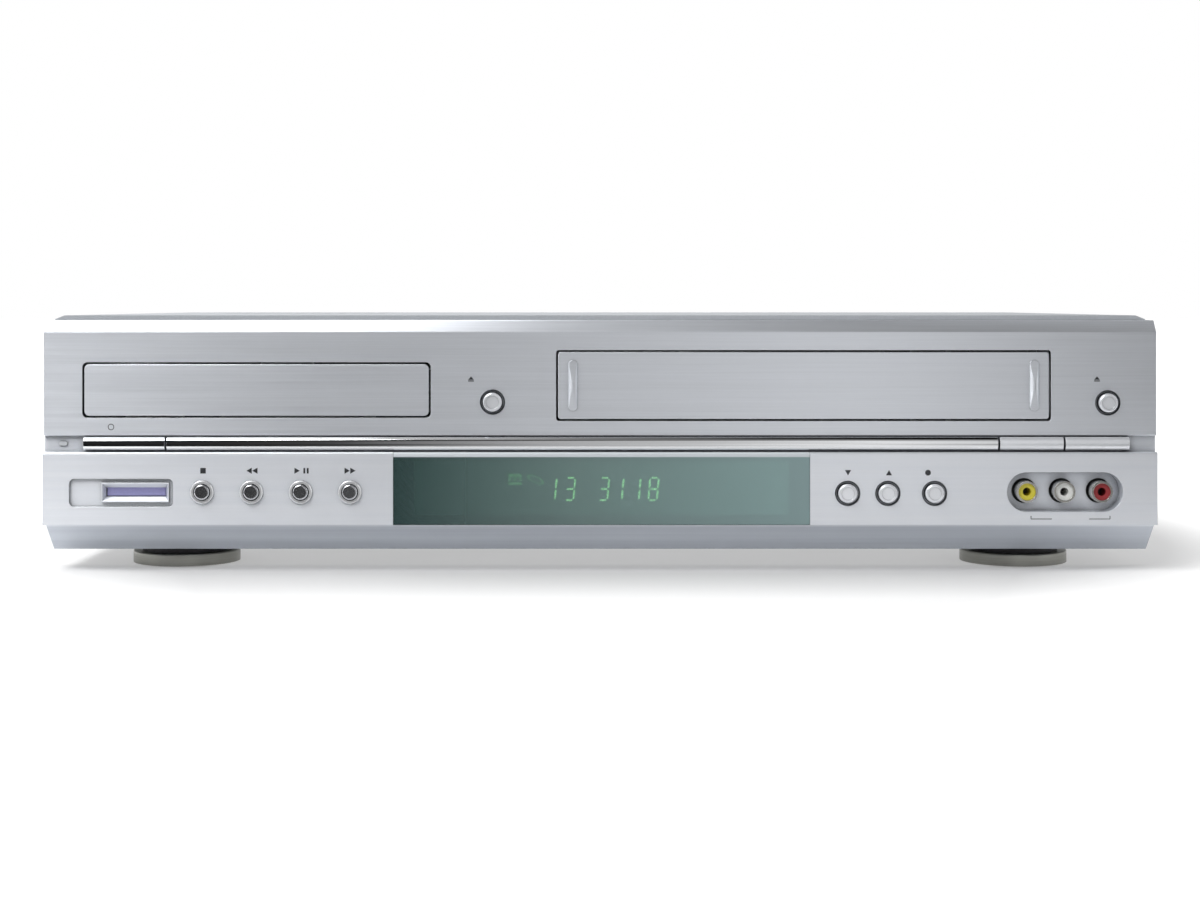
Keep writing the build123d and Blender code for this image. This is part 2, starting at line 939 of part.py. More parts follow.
def front_fascia():
    """The moulded front with every opening that a door, key, window or socket needs."""
    body = fascia_shell()
    inner = back(fascia_depth)
    outer = front_y - 1
    chassis_tongues = [
        block(x - tongue_width / 2, x + tongue_width / 2, inner, inner + tongue_reach, floor_z, foot_height + fascia_wall)
        for x in fan(tongue_count, overall_width / (tongue_count + 1), 0)
    ]
    jack_cup = Pos(jack_x, jack_z) * SlotOverall(jack_recess_width + 2 * fascia_wall, jack_recess_height + 2 * fascia_wall)
    body += along_y(jack_cup, back(fascia_wall) - 1, back(jack_floor + fascia_wall / 2))
    body = joined([body, *fascia_bosses(), *door_ears(), *chassis_tongues])
    cuts = []
    # Disc drawer and cassette door
    half = drawer_width / 2 + panel_gap
    low, high = drawer_low - panel_gap, drawer_high + panel_gap
    cuts.append(rounded_cut(drawer_x - half, drawer_x + half, low, high, drawer_corner, outer, inner))
    half = cassette_door_width / 2
    left, right = cassette_x - half, cassette_x + half
    mouth_back = back(upper_panel_setback + fascia_wall)
    cuts.append(
        rounded_cut(left, right, cassette_door_low, cassette_door_high, cassette_door_corner, outer, mouth_back)
    )
    # Display window: a shallow seat with a smaller opening behind it
    cuts.append(
        block(window_left, window_right, outer, back(window_wall), lower_panel_low, band_low)
    )
    left, right = window_left + window_opening_inset, window_right - window_opening_inset
    cuts.append(block(left, right, outer, back(tube_setback), window_opening_low, window_opening_high))
    # Card slot in its shallow recess
    cuts.append(
        rounded_cut(
            card_recess_left, card_recess_right, card_recess_low, card_recess_high,
            drawer_corner, outer, back(card_recess_depth),
        )
    )
    # Front sockets in their long round-ended recess
    recess = Pos(jack_x, jack_z) * SlotOverall(jack_recess_width, jack_recess_height)
    cuts.append(along_y(recess, outer, back(jack_floor)))
    for x, z in front_jack_places():
        cuts.append(rod_y(x, z, jack_hole_radius, outer, back(jack_floor + fascia_wall)))
    # Round keys
    for x, z in left_key_places().values():
        cuts.append(rod_y(x, z, ring_sleeve_radius + seat_gap, outer, back(fascia_wall) + 1))
    for x, z in right_key_places().values():
        cuts.append(key_dish(x, z, 0))
        cuts.append(rod_y(x, z, right_cap_radius + slide_gap, outer, back(fascia_wall) + 1))
    for x, z in upper_key_places().values():
        cuts.append(key_dish(x, z, upper_panel_setback))
        cuts.append(rod_y(x, z, right_cap_radius + slide_gap, outer, back(upper_panel_setback + fascia_wall) + 1))
    # Windows in the band's floor for the standby lamp and the long keys
    cuts.append(along_y(lamp_outline(seat_gap), outer, back(band_setback + fascia_wall) + 1))
    for left, right in bar_key_spans().values():
        middle = (left + right) / 2
        window = Pos(middle, bar_z) * Rectangle(key_window_width + 2 * slide_gap, key_window_height + 2 * slide_gap)
        cuts.append(along_y(window, outer, back(band_setback + fascia_wall) + 1))
    rim, passage = card_frame()
    return without(without(body, cuts) + rim, passage)


def bar_profile(depth):
    """The half-round front of the trim and of the long keys, Y across and Z up."""
    half = bar_height / 2
    front = back(bar_front)
    shoulder = back(bar_front + half / 2)
    rear = back(depth)
    bow = ThreePointArc((shoulder, bar_z - half), (front, bar_z), (shoulder, bar_z + half))
    rest = Polyline(
        (shoulder, bar_z + half), (rear, bar_z + half), (rear, bar_z - half), (shoulder, bar_z - half)
    )
    return make_face(Curve() + [bow, rest])


def chrome_trim():
    return along_x(bar_profile(band_setback), trim_left, trim_right)


def display_window():
    """A clear plate over the whole height of the lower panel, rounded along its top as the panel is."""
    gap = seat_gap
    plate = block(
        window_left + gap, window_right - gap, front_y, back(window_wall), lower_panel_low + gap, band_low - gap
    )
    top_edges = plate.edges().filter_by(Axis.X).group_by(Axis.Z)[-1]
    return fillet(top_edges.sort_by(Axis.Y)[0], panel_edge)


def button_rings():
    """Bright flanged bushes that the left keys slide in."""
    solids = []
    for x, z in left_key_places().values():
        flange = rod_y(x, z, ring_outer_radius, back(-ring_stand), back(0))
        flange = chamfer(flange.edges().sort_by(Axis.Y)[0], ring_edge)
        sleeve = rod_y(x, z, ring_sleeve_radius, back(0), back(fascia_wall))
        bore = rod_y(x, z, left_cap_radius + slide_gap, back(-ring_stand) - 1, back(fascia_wall) + 1)
        solids.append(flange + sleeve - bore)
    return solids


def card_socket():
    """The card's housing behind the slot, closed at its back and open to the front."""
    wall = card_socket_wall
    start = back(fascia_wall)
    left, right = card_slot_left - wall, card_slot_right + wall
    low, high = card_slot_low - wall, card_room_high + wall
    box = block(left, right, start, start + card_socket_length, low, high)
    hollow = block(
        card_slot_left, card_slot_right, start - 1, start + card_socket_length - wall, card_slot_low, card_room_high
    )
    pin_y = back(card_door_setback + card_door_wall)
    pin_z = card_room_high - card_pin_radius - card_door_gap
    bore = rod_x(pin_y, pin_z, card_pin_radius + running_gap, left - 1, right + 1)
    return box - hollow - bore


def card_door():
    """A flap inside the slot, hung from two stub pins at its top."""
    wall = card_door_wall
    front = back(card_door_setback)
    gap = card_door_gap
    pin_y = front + wall
    pin_z = card_room_high - card_pin_radius - gap
    flap = block(
        card_slot_left + gap, card_slot_right - gap, pin_y - wall / 2, pin_y + wall / 2, card_slot_low + gap, pin_z
    )
    pin = rod_x(pin_y, pin_z, card_pin_radius, card_slot_left - card_socket_wall, card_slot_right + card_socket_wall)
    return flap + pin


# ---------------------------------------------------------------- sockets


def barrel(x, z, y_low, y_high, neck):
    """One metal socket shell, a thin tube along Y with a narrower neck of this length inside."""
    tube = rod_y(x, z, barrel_radius, y_low + neck, y_high)
    if neck:
        tube += rod_y(x, z, neck_radius, y_low, y_low + neck)
    return tube - rod_y(x, z, barrel_radius - barrel_wall, y_low - 1, y_high + 1)


def insert(x, z, y_low, y_high):
    """The coloured plug of plastic inside a socket shell, with its centre hole."""
    radius = barrel_radius - barrel_wall - running_gap
    return rod_y(x, z, radius, y_low, y_high) - rod_y(x, z, insert_hole_radius, y_low - 1, y_high + 1)


def jack_block_front():
    return back(jack_floor + fascia_wall)


def jack_shells():
    solids = [barrel(x, z, back(jack_front), jack_block_front(), 0) for x, z in front_jack_places()]
    rear_block = rear_y - rear_wall
    for row in range(jack_count):
        solids += [barrel(x, z, rear_block, rear_y + barrel_stand, rear_wall) for x, z in rear_jack_places(row)]
    return solids


def jack_inserts(index):
    """The inserts of one colour: one socket in front and one row behind."""
    x, z = front_jack_places()[index]
    solids = [insert(x, z, back(jack_front + insert_inset), jack_block_front())]
    rear_block = rear_y - rear_wall
    end = rear_y + barrel_stand - insert_inset
    solids += [insert(x, z, rear_block, end) for x, z in rear_jack_places(index)]
    return solids


def jack_blocks():
    """The plastic bodies that carry the front and the rear sockets."""
    half = jack_pitch * jack_count / 2
    z_half = jack_block_height / 2
    front_block = block(
        jack_x - half, jack_x + half, jack_block_front(), board_front(), jack_z - z_half, jack_z + z_half
    )
    solids = [front_block]
    high = rear_jack_low() + jack_count * rear_jack_pitch
    panel = rear_y - rear_wall
    for x in fan(jack_count, rear_jack_pitch, rear_jack_x):
        half = jack_block_height / 2
        solids.append(
            block(x - half, x + half, panel - rear_jack_block_depth, panel, rear_jack_low(), high)
        )
    return solids


def ac_inlet():
    """A two-pin mains inlet with a flange outside the rear panel."""
    panel_front = rear_y - inlet_depth
    body = along_y(Pos(inlet_x, inlet_z) * Rectangle(inlet_width, inlet_height), panel_front - inlet_wall, rear_y)
    flange = Pos(inlet_x, inlet_z) * Rectangle(inlet_width + 2 * inlet_flange, inlet_height + 2 * inlet_flange)
    body += along_y(flange, rear_y, rear_y + inlet_flange_wall)
    recess = Pos(inlet_x, inlet_z) * SlotOverall(inlet_recess_width, inlet_recess_height)
    body -= along_y(recess, panel_front, rear_y + inlet_flange_wall + 1)
    for x in fan(2, inlet_pin_pitch, inlet_x):
        body += rod_y(x, inlet_z, inlet_pin_radius, panel_front - inlet_wall, rear_y - inlet_wall)
    return body


def rf_tuner():
    """The screened aerial box with its two threaded sockets."""
    panel = rear_y - rear_wall
    half = tuner_width / 2
    box = block(
        tuner_x - half, tuner_x + half, panel - tuner_depth, panel, tuner_z - tuner_height / 2, tuner_z + tuner_height / 2
    )
    for z in fan(2, aerial_pitch, tuner_z):
        socket = rod_y(tuner_x, z, aerial_neck_radius, panel, rear_y)
        socket += rod_y(tuner_x, z, aerial_radius, rear_y, rear_y + aerial_length)
        box += socket - rod_y(tuner_x, z, aerial_bore, rear_y, rear_y + aerial_length + 1)
    legs_high = tuner_z - tuner_height / 2
    leg_front = panel - tuner_depth
    for x in (tuner_x - half, tuner_x + half - tuner_leg_wall):
        box += block(x, x + tuner_leg_wall, leg_front, leg_front + tuner_leg_depth, floor_z, legs_high)
    return box


# ---------------------------------------------------------------- keys


def round_key(x, z, radius, panel_setback, hollow):
    """A round cap, the flange that keeps it behind the panel, and the stem to its switch."""
    front = back(panel_setback - cap_stand)
    inner = back(panel_setback + fascia_wall)
    flange_front = inner + seat_gap
    cap = rod_y(x, z, radius, front, flange_front)
    cap = fillet(cap.edges().sort_by(Axis.Y)[0], radius / 4)
    if hollow:
        cap -= rod_y(x, z, radius - cap_rim, front - 1, front + hollow)
    flange = rod_y(x, z, radius + slide_gap + flange_lip, flange_front, flange_front + flange_wall)
    stem_end = plunger_front() - key_travel - seat_gap
    stem = rod_y(x, z, stem_radius, flange_front + flange_wall, stem_end)
    return cap + flange + stem


def bar_key(left, right):
    """A long key with a half-round front, a neck through the band's floor and a stem."""
    middle = (left + right) / 2
    cap_back = band_setback - key_travel - seat_gap
    cap = along_x(bar_profile(cap_back), left, right)
    flange_front = back(band_setback + fascia_wall) + seat_gap
    neck_size = Rectangle(key_window_width, key_window_height)
    neck = along_y(Pos(middle, bar_z) * neck_size, back(cap_back), flange_front)
    flange_size = Rectangle(key_window_width + 2 * flange_lip, key_window_height + 2 * flange_lip)
    flange = along_y(Pos(middle, bar_z) * flange_size, flange_front, flange_front + flange_wall)
    stem_end = plunger_front() - key_travel - seat_gap
    stem = rod_y(middle, bar_z, stem_radius, flange_front + flange_wall, stem_end)
    return cap + neck + flange + stem


def tact_switches():
    solids = []
    for x, z in switch_places():
        body = along_y(Pos(x, z) * Rectangle(switch_width, switch_width), board_front() - switch_height, board_front())
        body += rod_y(x, z, plunger_radius, plunger_front(), board_front() - switch_height)
        solids.append(body)
    return solids


def front_circuit_boards():
    """The long board behind the lower panel and the two small ones behind the upper panel."""
    start = board_front()
    end = start + board_wall
    long_board = block(-front_board_half, front_board_half, start, end, front_board_low, front_board_high)
    gap = card_socket_wall + seat_gap
    long_board -= block(
        card_slot_left - gap, card_slot_right + gap, start - 1, end + 1, card_slot_low - gap, card_room_high + gap
    )
    solids = [long_board]
    half = key_board_width / 2
    for x, _ in upper_key_places().values():
        solids.append(block(x - half, x + half, start, end, key_board_low, key_board_high))
    return solids


def display_tube():
    """The flat glass tube of the display, on two legs to the board."""
    left, right = window_left + tube_inset, window_right - tube_inset
    end = back(tube_setback + tube_depth)
    tube = block(left, right, back(tube_setback) + seat_gap, end, window_opening_low, window_opening_high)
    for x in (left + tube_leg, right - 2 * tube_leg):
        middle = (window_opening_low + window_opening_high) / 2
        tube += block(x, x + tube_leg, end, board_front(), middle - tube_leg, middle + tube_leg)
    return tube


# ---------------------------------------------------------------- disc drawer and loader


def involute(angle):
    return math.tan(angle) - angle


def tooth_half_angle(radius):
    """Half the angle that a pinion tooth covers at this radius."""
    base = pitch_radius * math.cos(pressure_angle)
    pitch_half = (math.pi * gear_module / 2 - backlash) / (2 * pitch_radius)
    slope = math.acos(min(1.0, base / max(radius, base)))
    return pitch_half + involute(pressure_angle) - involute(slope)


def pinion_outline():
    """Every tooth of the pinion, its flanks points on the involute."""
    root = pitch_radius - dedendum
    tip = pitch_radius + addendum
    base = pitch_radius * math.cos(pressure_angle)
    radii = (root, base, (base + tip) / 2, tip)
    points = []
    for i in range(gear_teeth):
        middle = 2 * math.pi * i / gear_teeth
        flank = [(r, tooth_half_angle(r)) for r in radii]
        rising = [(r, middle - half) for r, half in flank]
        falling = [(r, middle + half) for r, half in reversed(flank)]
        points += [(r * math.cos(a), r * math.sin(a)) for r, a in rising + falling]
    return outline(points)


def gear_x():
    return drawer_x - gear_from_middle


def rack_outline():
    """The drawer's rack, teeth towards the right, in step with the pinion at rest."""
    pitch = math.pi * gear_module
    line = gear_x() - pitch_radius
    tip = line + addendum
    root = line - dedendum
    slope = math.tan(pressure_angle)
    half = pitch / 4 - backlash / 4
    front = back(gear_setback) - (rack_spare_pitches / 2 + 1) * pitch
    count = int(tray_travel / pitch) + rack_spare_pitches
    points = [(root - rack_back, front)]
    for i in range(count):
        middle = front + (i + 1) * pitch
        points.append((root, middle - half - dedendum * slope))
        points.append((tip, middle - half + addendum * slope))
        points.append((tip, middle + half - addendum * slope))
        points.append((root, middle + half + dedendum * slope))
    points.append((root, front + (count + 1) * pitch))
    points.append((root - rack_back, front + (count + 1) * pitch))
    points.insert(1, (root, front))
    return outline(points)


def disc_tray():
    """The drawer: a plate with two disc recesses, a long slot, side rims and a rack."""
    left, right = drawer_x - tray_half, drawer_x + tray_half
    front = back(upper_panel_setback + drawer_front_wall)
    top = tray_low + tray_wall
    plate = block(left, right, front, back(tray_rear), tray_low, top)
    spindle = back(disc_setback)
    deep = top - disc_recess_depth
    plate -= rod_z(drawer_x, spindle, disc_recess_radius, deep, top + 1)
    plate -= rod_z(drawer_x, spindle, small_recess_radius, deep - small_recess_depth, top + 1)
    plate -= rod_z(drawer_x, spindle, tray_slot_half, tray_low - 1, top + 1)
    plate -= block(
        drawer_x - tray_slot_half, drawer_x + tray_slot_half, spindle, back(tray_rear) + 1, tray_low - 1, top + 1
    )
    return plate + along_z(rack_outline(), tray_low - rack_height, tray_low)


def tray_door():
    """The drawer's front, flush with the upper panel."""
    shape = Pos(drawer_x, (drawer_low + drawer_high) / 2) * RectangleRounded(
        drawer_width, drawer_high - drawer_low, drawer_corner
    )
    front = back(upper_panel_setback)
    door = along_y(shape, front, front + drawer_front_wall)
    return fillet(door.faces().sort_by(Axis.Y)[0].edges(), door_edge)


def loader_frame():
    """The loader's open frame: side walls with rails, end walls, a gear plate and four legs."""
    inner = tray_half + 2 * slide_gap
    outer = inner + frame_wall
    front, rear = back(frame_front), back(frame_rear)
    solids = []
    ledge_top = tray_low - slide_gap
    strip_low = tray_low + tray_wall + slide_gap
    for side in (-1, 1):

        def across(near, far):
            a, b = drawer_x + side * near, drawer_x + side * far
            return min(a, b), max(a, b)

        solids.append(block(*across(inner, outer), front, rear, frame_low, frame_high))
        solids.append(block(*across(inner - ledge_width, inner), front, rear, ledge_top - ledge_height, ledge_top))
        solids.append(block(*across(inner - ledge_width, inner), front, rear, strip_low, strip_low + ledge_height))
    plate_high = frame_low + front_plate_wall
    solids.append(block(drawer_x - inner, drawer_x + inner, front, front + front_plate_depth, frame_low, plate_high))
    solids.append(block(drawer_x - inner, drawer_x + inner, rear - frame_wall, rear, frame_low, frame_high))
    # Bearing cross-member for the optical drive
    pivot_y = back(traverse_pivot_setback)
    half = traverse_pin_radius + pivot_ear_wall
    pivot_z = traverse_low + traverse_wall / 2
    ear_low = traverse_half + slide_gap
    for side in (-1, 1):
        near = drawer_x + side * ear_low
        far = drawer_x + side * inner
        ear = block(min(near, far), max(near, far), pivot_y - half, pivot_y + half, frame_low, pivot_z + half)
        solids.append(ear)
    leg_x = outer + frame_leg_radius - frame_leg_overlap
    for side in (-1, 1):
        for y in (front + frame_leg_setback, rear - frame_leg_setback):
            solids.append(rod_z(drawer_x + side * leg_x, y, frame_leg_radius, floor_z, frame_low + frame_leg_rise))
    body = joined(solids)
    axle = rod_z(gear_x(), back(gear_setback), gear_axle_radius, plate_high - 1, tray_low - slide_gap)
    body += axle
    bore = rod_x(pivot_y, pivot_z, traverse_pin_radius + running_gap, drawer_x - inner, drawer_x + inner)
    shaft_hole = rod_z(
        drawer_x + motor_from_middle, back(gear_setback), motor_shaft_radius + slide_gap, frame_low - 1, plate_high + 1
    )
    return without(body, [bore, shaft_hole])


def gear_levels():
    """Bottom of the pulley, bottom of the pinion and its top."""
    low = frame_low + front_plate_wall + slide_gap
    return low, low + pulley_height, tray_low - slide_gap


def loading_gear():
    """The pinion that moves the drawer, in one piece with its belt pulley."""
    x, y = gear_x(), back(gear_setback)
    low, middle, high = gear_levels()
    pulley = rod_z(x, y, pulley_radius, low, middle)
    groove = rod_z(x, y, pulley_radius + 1, low + pulley_groove, middle - pulley_groove)
    groove -= rod_z(x, y, pulley_radius - pulley_groove, low, middle)
    pinion = Pos(x, y, 0) * along_z(pinion_outline(), middle, high)
    bore = rod_z(x, y, gear_axle_radius + running_gap, low - 1, high + 1)
    return pulley - groove + pinion - bore


def belt_loop(big, small):
    """The area inside a belt round two pulleys, drawn in X and Y."""
    far = gear_from_middle + motor_from_middle
    lean = math.asin((big - small) / far)
    x0, x1, y = gear_x(), drawer_x + motor_from_middle, back(gear_setback)
    nx, ny = math.sin(lean), math.cos(lean)
    upper = [(x0 + big * nx, y + big * ny), (x1 + small * nx, y + small * ny)]
    lower = [(x1 + small * nx, y - small * ny), (x0 + big * nx, y - big * ny)]
    band = outline(upper + lower)
    return band + Pos(x0, y) * Circle(big) + Pos(x1, y) * Circle(small)


def loader_belt():
    low, middle, _ = gear_levels()
    height = (low + middle) / 2
    inside_big = pulley_radius - pulley_groove + seat_gap
    inside_small = motor_pulley_radius - pulley_groove + seat_gap
    ring = belt_loop(inside_big + belt_wall, inside_small + belt_wall) - belt_loop(inside_big, inside_small)
    return along_z(ring, height - belt_height / 2, height + belt_height / 2)


def loader_motor():
    """The drawer motor under the gear plate, its shaft and pulley above."""
    x, y = drawer_x + motor_from_middle, back(gear_setback)
    low, middle, _ = gear_levels()
    can = rod_z(x, y, motor_radius, frame_low - motor_length, frame_low)
    shaft = rod_z(x, y, motor_shaft_radius, frame_low, middle)
    pulley = rod_z(x, y, motor_pulley_radius, low, middle)
    groove = rod_z(x, y, motor_pulley_radius + 1, low + pulley_groove, middle - pulley_groove)
    groove -= rod_z(x, y, motor_pulley_radius - pulley_groove, low, middle)
    return can + shaft + (pulley - groove)


def traverse_plate():
    """The tilting plate that carries the spindle motor and the rails of the pickup."""
    x = drawer_x
    front = back(traverse_front)
    rear = back(traverse_pivot_setback)
    top = traverse_low + traverse_wall
    plate = block(x - traverse_half, x + traverse_half, front, rear, traverse_low, top)
    plate += rod_z(x, back(disc_setback), spindle_motor_radius, top, top + spindle_motor_height)
    for y in (back(rail_front), back(rail_rear) - rail_lug_wall):
        for side in (-1, 1):
            rail = x + side * rail_from_middle
            lug_top = rail_z + rail_radius + rail_lug_rise
            plate += block(rail - rail_lug_half, rail + rail_lug_half, y, y + rail_lug_wall, top, lug_top)
    pivot_z = traverse_low + traverse_wall / 2
    reach = traverse_half + slide_gap + traverse_pin_length
    plate += rod_x(rear, pivot_z, traverse_pin_radius, x - reach, x + reach)
    cuts = [rod_z(x, back(disc_setback), spindle_radius + running_gap, top, platter_high)]
    for side in (-1, 1):
        rail = x + side * rail_from_middle
        cuts.append(rod_y(rail, rail_z, rail_radius, back(rail_front) - 1, back(rail_rear) + 1))
    window_half = rail_from_middle - lens_window_inset
    window_front = back(rail_front) + rail_lug_wall + lens_window_gap
    window_rear = back(rail_rear) - rail_lug_wall - lens_window_gap
    cuts.append(block(x - window_half, x + window_half, window_front, window_rear, traverse_low - 1, top + 1))
    return without(plate, cuts)


def pickup_rails():
    solids = []
    for side in (-1, 1):
        x = drawer_x + side * rail_from_middle
        solids.append(rod_y(x, rail_z, rail_radius, back(rail_front), back(rail_rear)))
    return solids


def laser_pickup():
    """The sled with the lens, on both rails."""
    front = back(pickup_front)
    sled = block(drawer_x - pickup_half, drawer_x + pickup_half, front, front + pickup_depth, pickup_low, pickup_high)
    sled += rod_z(drawer_x, front + pickup_depth / 2, lens_radius, pickup_high, pickup_high + lens_height)
    for side in (-1, 1):
        x = drawer_x + side * rail_from_middle
        sled -= rod_y(x, rail_z, rail_radius + running_gap, front - 1, front + pickup_depth + 1)
    return sled


def turntable():
    """The platter that the disc sits on, with its hub and spindle."""
    x, y = drawer_x, back(disc_setback)
    platter = rod_z(x, y, platter_radius, platter_low, platter_high)
    hub = rod_z(x, y, hub_radius, platter_high, platter_high + hub_height)
    hub = chamfer(hub.edges().sort_by(Axis.Z)[-1], hub_height / 2)
    motor_floor = traverse_low + traverse_wall
    shaft = rod_z(x, y, spindle_radius, motor_floor + seat_gap, platter_low)
    return platter + hub + shaft


def clamp_bridge():
    """A steel strip over the drawer that the disc clamp hangs in."""
    half = tray_half + 2 * slide_gap + frame_wall
    y = back(disc_setback)
    strip = block(
        drawer_x - half, drawer_x + half, y - bridge_depth / 2, y + bridge_depth / 2, frame_high, frame_high + bridge_wall
    )
    return strip - rod_z(drawer_x, y, clamp_neck_radius + slide_gap, frame_high - 1, frame_high + bridge_wall + 1)


def disc_clamp():
    """A loose puck in the bridge, wider above and below its neck."""
    y = back(disc_setback)
    bridge_top = frame_high + bridge_wall
    puck = rod_z(drawer_x, y, clamp_radius, clamp_low, frame_high - clamp_lift)
    neck = rod_z(drawer_x, y, clamp_neck_radius, frame_high - clamp_lift, bridge_top + seat_gap)
    top = rod_z(drawer_x, y, clamp_top_radius, bridge_top + seat_gap, bridge_top + seat_gap + clamp_wall)
    socket = rod_z(drawer_x, y, hub_radius + 1, clamp_low - 1, clamp_low + hub_height)
    return puck + neck + top - socket


# ---------------------------------------------------------------- cassette mechanism


def finger_pad(x):
    """An upright ridge on the door, crowned across and along."""
    z = (cassette_door_low + cassette_door_high) / 2
    face = back(upper_panel_setback)
    inside = face + cassette_door_wall / 2
    pad = along_y(Pos(x, z) * SlotOverall(pad_height, pad_width, rotation=90), face - pad_stand, inside)
    pad &= rod_z(x, face - pad_stand + pad_round, pad_round, z - pad_height, z + pad_height)
    long_round = (pad_height**2 / 4 + pad_end_drop**2) / (2 * pad_end_drop)
    return pad & rod_x(face - pad_stand + long_round, z, long_round, x - pad_width, x + pad_width)


def cassette_door():
    """The flap over the cassette mouth, with finger pads and pins on two lugs at its top."""
    gap = panel_gap
    half = cassette_door_width / 2 - gap
    low, high = cassette_door_low + gap, cassette_door_high - gap
    front = back(upper_panel_setback)
    rear = front + cassette_door_wall
    shape = Pos(cassette_x, (low + high) / 2) * RectangleRounded(2 * half, high - low, cassette_door_corner)
    panel = along_y(shape, front, rear)
    panel = fillet(panel.faces().sort_by(Axis.Y)[0].edges(), door_edge)
    axis_y = back(door_axis_setback)
    for side in (-1, 1):
        panel += finger_pad(cassette_x + side * (half - pad_from_edge))
        near = cassette_x + side * half
        far = near - side * door_lug_width
        neck = outline(
            [
                (rear - cassette_door_wall / 2, high),
                (rear + 1, high),
                (axis_y - door_lug_radius, door_axis_z),
                (axis_y + door_lug_radius, door_axis_z),
                (rear + cassette_door_wall, high - door_lug_root),
                (rear - cassette_door_wall / 2, high - door_lug_root),
            ]
        )
        lug = along_x(neck, min(near, far), max(near, far))
        lug += rod_x(axis_y, door_axis_z, door_lug_radius, min(near, far), max(near, far))
        pin_end = cassette_x + side * (half + gap + door_pin_length)
        lug += rod_x(axis_y, door_axis_z, door_pin_radius, min(far, pin_end), max(far, pin_end))
        panel += lug
    return panel


def deck_plate():
    """The steel plate under the tape path, standing on two folded legs each side."""
    left, right = cassette_x - deck_half, cassette_x + deck_half
    front, rear = back(deck_front), back(deck_rear)
    plate = block(left, right, front, rear, deck_low, deck_top)
    for y in (front, rear - deck_leg_length):
        for x in (left, right - deck_wall):
            plate += block(x, x + deck_wall, y, y + deck_leg_length, floor_z, deck_low)
    drum_x, drum_y = cassette_x, back(drum_setback)
    bearing_x, bearing_y = cassette_x + capstan_from_middle, back(capstan_setback)
    plate += rod_z(bearing_x, bearing_y, bearing_radius, deck_top, deck_top + bearing_height)
    cuts = [rod_z(bearing_x, bearing_y, capstan_radius + running_gap, 0, overall_height)]
    cuts.append(rod_z(drum_x, drum_y, drum_radius / 2, deck_low - 1, deck_top + 1))
    for side in (-1, 1):
        x = cassette_x + side * reel_from_middle
        plate += rod_z(x, back(reel_setback), reel_pin_radius, deck_low, deck_top + reel_lift + reel_height)
        slot_x = cassette_x + side * (drum_radius + tape_slot_gap)
        slot = Pos(slot_x, drum_y) * SlotOverall(tape_slot_length, tape_slot_width, rotation=90)
        cuts.append(along_z(slot, deck_low - 1, deck_top + 1))
    return without(plate, cuts)


def slider_pin_ys():
    return [back(slider_front + pin_inset), back(slider_front + slider_depth - pin_inset)]


def holder_pin_ys():
    middle = slider_front + slider_depth / 2
    return [back(middle - pin_inset), back(middle + pin_inset)]


def carriage_frame():
    """Two side walls with a long slot each, tied across the top."""
    front, rear = back(side_front), back(side_rear)
    solids = []
    pin_gap = guide_pin_radius + seat_gap
    slot_low = slider_pin_ys()[0] - pin_gap
    slot_high = slider_pin_ys()[1] + carriage_travel + pin_gap
    slot = Pos((slot_low + slot_high) / 2, slider_pin_z) * SlotOverall(slot_high - slot_low, 2 * pin_gap)
    for side in (-1, 1):
        outer = cassette_x + side * side_half
        inner = outer - side * side_wall
        wall = block(min(outer, inner), max(outer, inner), front, rear, deck_top, side_high)
        cut = along_x(slot, min(outer, inner) - 1, max(outer, inner) + 1)
        solids.append(wall - cut)
    left, right = cassette_x - side_half, cassette_x + side_half
    for y in (front, rear - brace_depth):
        solids.append(block(left, right, y, y + brace_depth, side_high, side_high + side_wall))
    return joined(solids)


def slider_half():
    """Outside of the slider's plates, from the middle of the deck."""
    return side_half - side_wall - 3 * slide_gap


def carriage_slider():
    """The carrier that runs back along the side walls; its upright slots let the holder down."""
    outer_half = slider_half()
    front, rear = back(slider_front), back(slider_front + slider_depth)
    pin_gap = guide_pin_radius + seat_gap
    solids = []
    slot_height = lowering + 2 * pin_gap
    for side in (-1, 1):
        outer = cassette_x + side * outer_half
        inner = outer - side * side_wall
        low, high = min(outer, inner), max(outer, inner)
        plate = block(low, high, front, rear, slider_low, slider_high)
        for y in holder_pin_ys():
            slot = Pos(y, holder_pin_z - lowering / 2) * SlotOverall(slot_height, 2 * pin_gap, rotation=90)
            plate -= along_x(slot, low - 1, high + 1)
        pin_end = cassette_x + side * (side_half + slide_gap)
        for y in slider_pin_ys():
            plate += rod_x(y, slider_pin_z, guide_pin_radius, min(outer, pin_end), max(outer, pin_end))
        solids.append(plate)
    y = (front + rear) / 2
    bar_half = slider_bar_depth / 2
    left, right = cassette_x - outer_half, cassette_x + outer_half
    solids.append(block(left, right, y - bar_half, y + bar_half, slider_high, slider_high + side_wall))
    return joined(solids)


